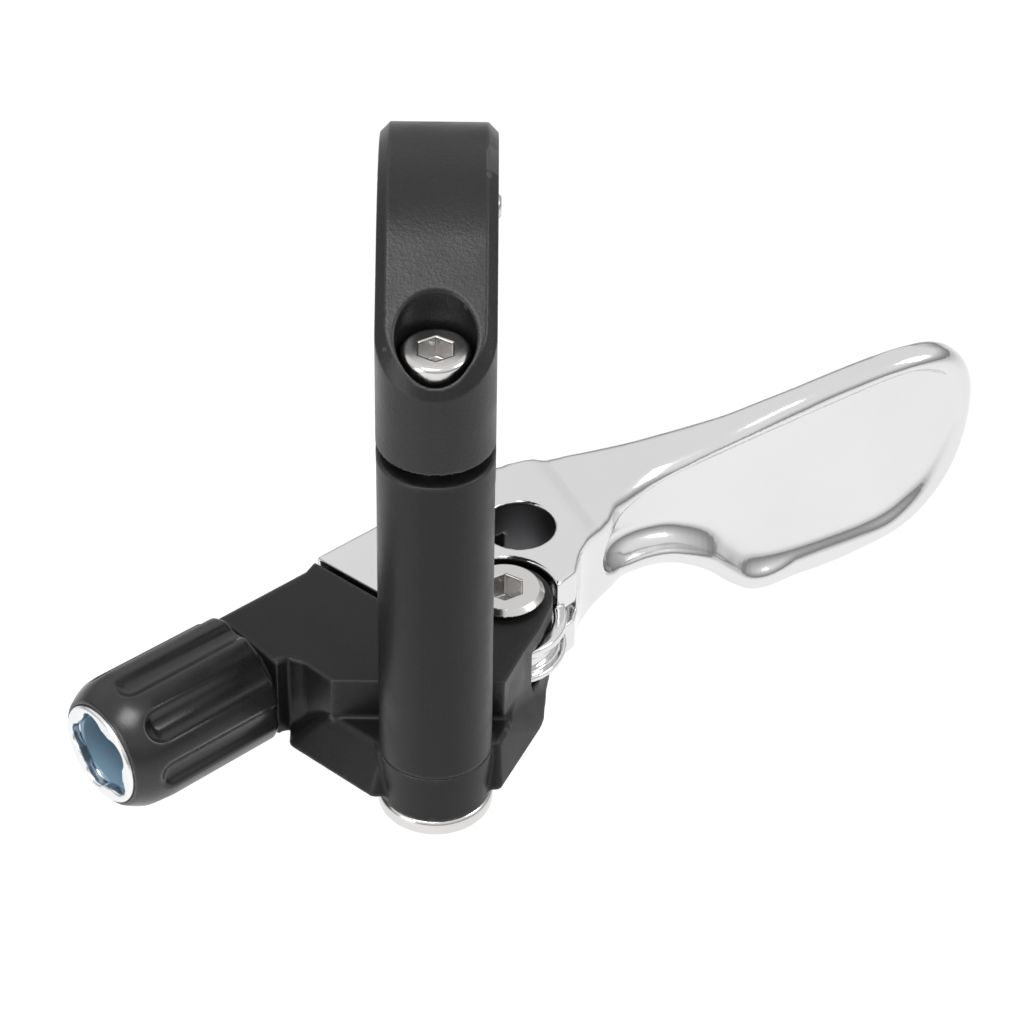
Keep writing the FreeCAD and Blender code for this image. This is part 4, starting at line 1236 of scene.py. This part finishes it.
    def solid(self) -> Solid:
        """The whole lever."""
        pivot, c = S.pivot_axes, S.cable_axes
        low, high = S.body_low + S.ear, S.body_top - S.ear
        relief = pivot.rod(S.ear_round + self.ear_gap, self.low - 1, self.top + 1)
        hub = pivot.rod(S.hub, low + self.hub_gap, high - self.hub_gap, 0.2)
        shape = self.arm().cut(relief, 0.2).join(hub, 0.1)
        shape = shape.cut(pivot.rod(self.bearing, low - 9, high + 9), 0.1)
        shape = shape.cut(PLAN.rod(self.hole_radius, -50, 0, at=self.hole), 0.25)
        slot = corners([c.place(u, v, 0) for u, v in ((9.9, 5.9), (27.3, 5.9), (27.3, -3.1), (9.9, -1.6))])
        shape = shape.cut(PLAN.prism(slot, self.slot_z - self.slot_half, self.slot_z + self.slot_half), 0.12)

        def groove(p: Array) -> Array:
            u, v, w = pivot.local(p)
            _, across, _ = c.local(p)
            r = np.hypot(u, v)
            ring = np.maximum(S.hub - self.groove_deep - r, r - S.hub - 2)
            level = np.abs(w - self.slot_z) - self.slot_half
            return np.maximum(np.maximum(ring, level), across + 9.2)

        shape = shape.cut(Solid(groove), 0.12)
        return self.dimples(shape.cut(self.recess(), 0.35))

    def build(self) -> None:
        """Makes the lever."""
        Piece("lever_arm", "lever", "thumb_lever", "polished_aluminium", Finish.LEVER, 0.2).build(self.solid())


@dataclass
class Kept:
    """Nodes of the frame whose own shape is shown."""

    finishes: dict[str, Finish] = field(default_factory=lambda: {
        "barrel_liner": Finish.LINER, "barrel_spring": Finish.WIRE, "detent_collar": Finish.PLASTIC,
        "barrel_seal": Finish.RUBBER, "pivot_washer_upper": Finish.SCREW, "pivot_washer_lower": Finish.SCREW,
        "bearing_inner_race": Finish.BEARING, "bearing_outer_race": Finish.BEARING,
        "bearing_balls": Finish.BEARING, "bearing_cage": Finish.PLASTIC, "bearing_shields": Finish.BEARING})

    def build(self) -> None:
        """Gives each kept node its finish."""
        for name, finish in self.finishes.items():
            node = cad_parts[name]
            node.data.materials.clear()
            node.data.materials.append(finish.material())
            LOG.info("%s: kept with %s", name, finish.value.name)


# ------------------------------------------------------------ studio
@dataclass
class Studio:
    """Camera, floor and soft light."""

    turn: float = math.radians(-0.662)
    rise: float = math.radians(39.899)
    roll: float = math.radians(0.969)
    distance: float = 311.35
    shift: tuple[float, float] = (5.876, -15.533)
    lens: float = 144.0
    floor_z: float = -0.16
    horizon: tuple[float, float] = (0.04, 0.30)
    overhead: tuple[float, float] = (0.50, 1.0)
    pale: tuple[float, float] = (0.80, 0.84)
    floor_half: float = 3.0
    aim: tuple[float, float, float] = (0.01, 0.0, -0.02)
    panels: tuple[tuple[str, tuple[float, float, float], tuple[float, float], float], ...] = (
        ("key", (-0.12, -0.24, 0.62), (0.30, 0.30), 2.2),
        ("front", (-0.45, -0.40, 0.12), (0.25, 0.35), 1.1),
        ("side", (0.55, -0.06, 0.42), (0.18, 0.30), 1.3))

    def camera(self) -> None:
        """Places the camera."""
        back = Vector((math.sin(self.turn) * math.cos(self.rise), -math.cos(self.turn) * math.cos(self.rise),
                       math.sin(self.rise)))
        right = Vector((math.cos(self.turn), math.sin(self.turn), 0))
        up = back.cross(right)
        place = (back * self.distance + right * self.shift[0] + up * self.shift[1]) * MM
        right, up = (right * math.cos(self.roll) + up * math.sin(self.roll),
                     up * math.cos(self.roll) - right * math.sin(self.roll))
        data = bpy.data.cameras.new("camera")
        data.lens, data.sensor_width, data.clip_start = self.lens, 36.0, 0.01
        camera = bpy.data.objects.new("camera", data)
        bpy.context.scene.collection.objects.link(camera)
        turn = Matrix((right, up, back)).transposed().to_4x4()
        camera.matrix_world = Matrix.Translation(place) @ turn
        bpy.context.scene.camera = camera

    def panel(self, name: str, place: Sequence[float], size: tuple[float, float], watts: float) -> None:
        """Adds one soft rectangular light.

        Args:
            name: its name.
            place: where it hangs, in metres.
            size: its two sides, in metres.
            watts: its power.
        """
        data = bpy.data.lights.new(name, "AREA")
        data.shape, data.size, data.size_y, data.energy = "RECTANGLE", size[0], size[1], watts
        lamp = bpy.data.objects.new(name, data)
        lamp.location = place
        lamp.rotation_euler = (Vector(place) - Vector(self.aim)).to_track_quat("Z", "Y").to_euler()
        bpy.context.scene.collection.objects.link(lamp)

    def floor(self) -> None:
        """Pale floor far enough below to keep its shadow soft."""
        mesh = bpy.data.meshes.new("floor")
        r, z = self.floor_half, self.floor_z
        mesh.from_pydata([(-r, -r, z), (r, -r, z), (r, r, z), (-r, r, z)], [], [(0, 1, 2, 3)])
        floor = bpy.data.objects.new("floor", mesh)
        bpy.context.scene.collection.objects.link(floor)
        n = Nodes("pale_floor")
        dim, light = ((value,) * 3 for value in self.pale)
        n.put(n.shader.inputs["Base Color"], n.mix(n.noise(0.002), dim, light))
        n.put(n.shader.inputs["Roughness"], 0.9)
        mesh.materials.append(n.material)

    def world(self) -> None:
        """Surroundings: dim at the horizon, paler overhead."""
        world = bpy.data.worlds.new("studio")
        world.use_nodes = True
        tree = world.node_tree
        background = tree.nodes["Background"]
        place = tree.nodes.new("ShaderNodeTexCoord")
        split = tree.nodes.new("ShaderNodeSeparateXYZ")
        ramp = tree.nodes.new("ShaderNodeValToRGB")
        tree.links.new(place.outputs["Generated"], split.inputs[0])
        tree.links.new(split.outputs["Z"], ramp.inputs["Fac"])
        tree.links.new(ramp.outputs["Color"], background.inputs["Color"])
        ends = ramp.color_ramp.elements
        ends[0].position, ends[1].position = self.horizon[0], self.overhead[0]
        ends[0].color = (self.horizon[1],) * 3 + (1,)
        ends[1].color = (self.overhead[1],) * 3 + (1,)
        background.inputs["Strength"].default_value = 1.0
        bpy.context.scene.world = world

    def build(self) -> None:
        """Sets the whole studio."""
        self.camera()
        self.floor()
        self.world()
        for panel in self.panels:
            self.panel(*panel)
        bpy.context.scene.view_settings.view_transform = "Standard"


def main() -> None:
    """Builds every sub-assembly in order."""
    logging.basicConfig(level=logging.INFO)
    for assembly in (Clamp(), Body(), Pivot(), Barrel(), Lever(), Kept(), Studio()):
        assembly.build()
        LOG.info("%s done", type(assembly).__name__)


if __name__ == "__main__":
    main()
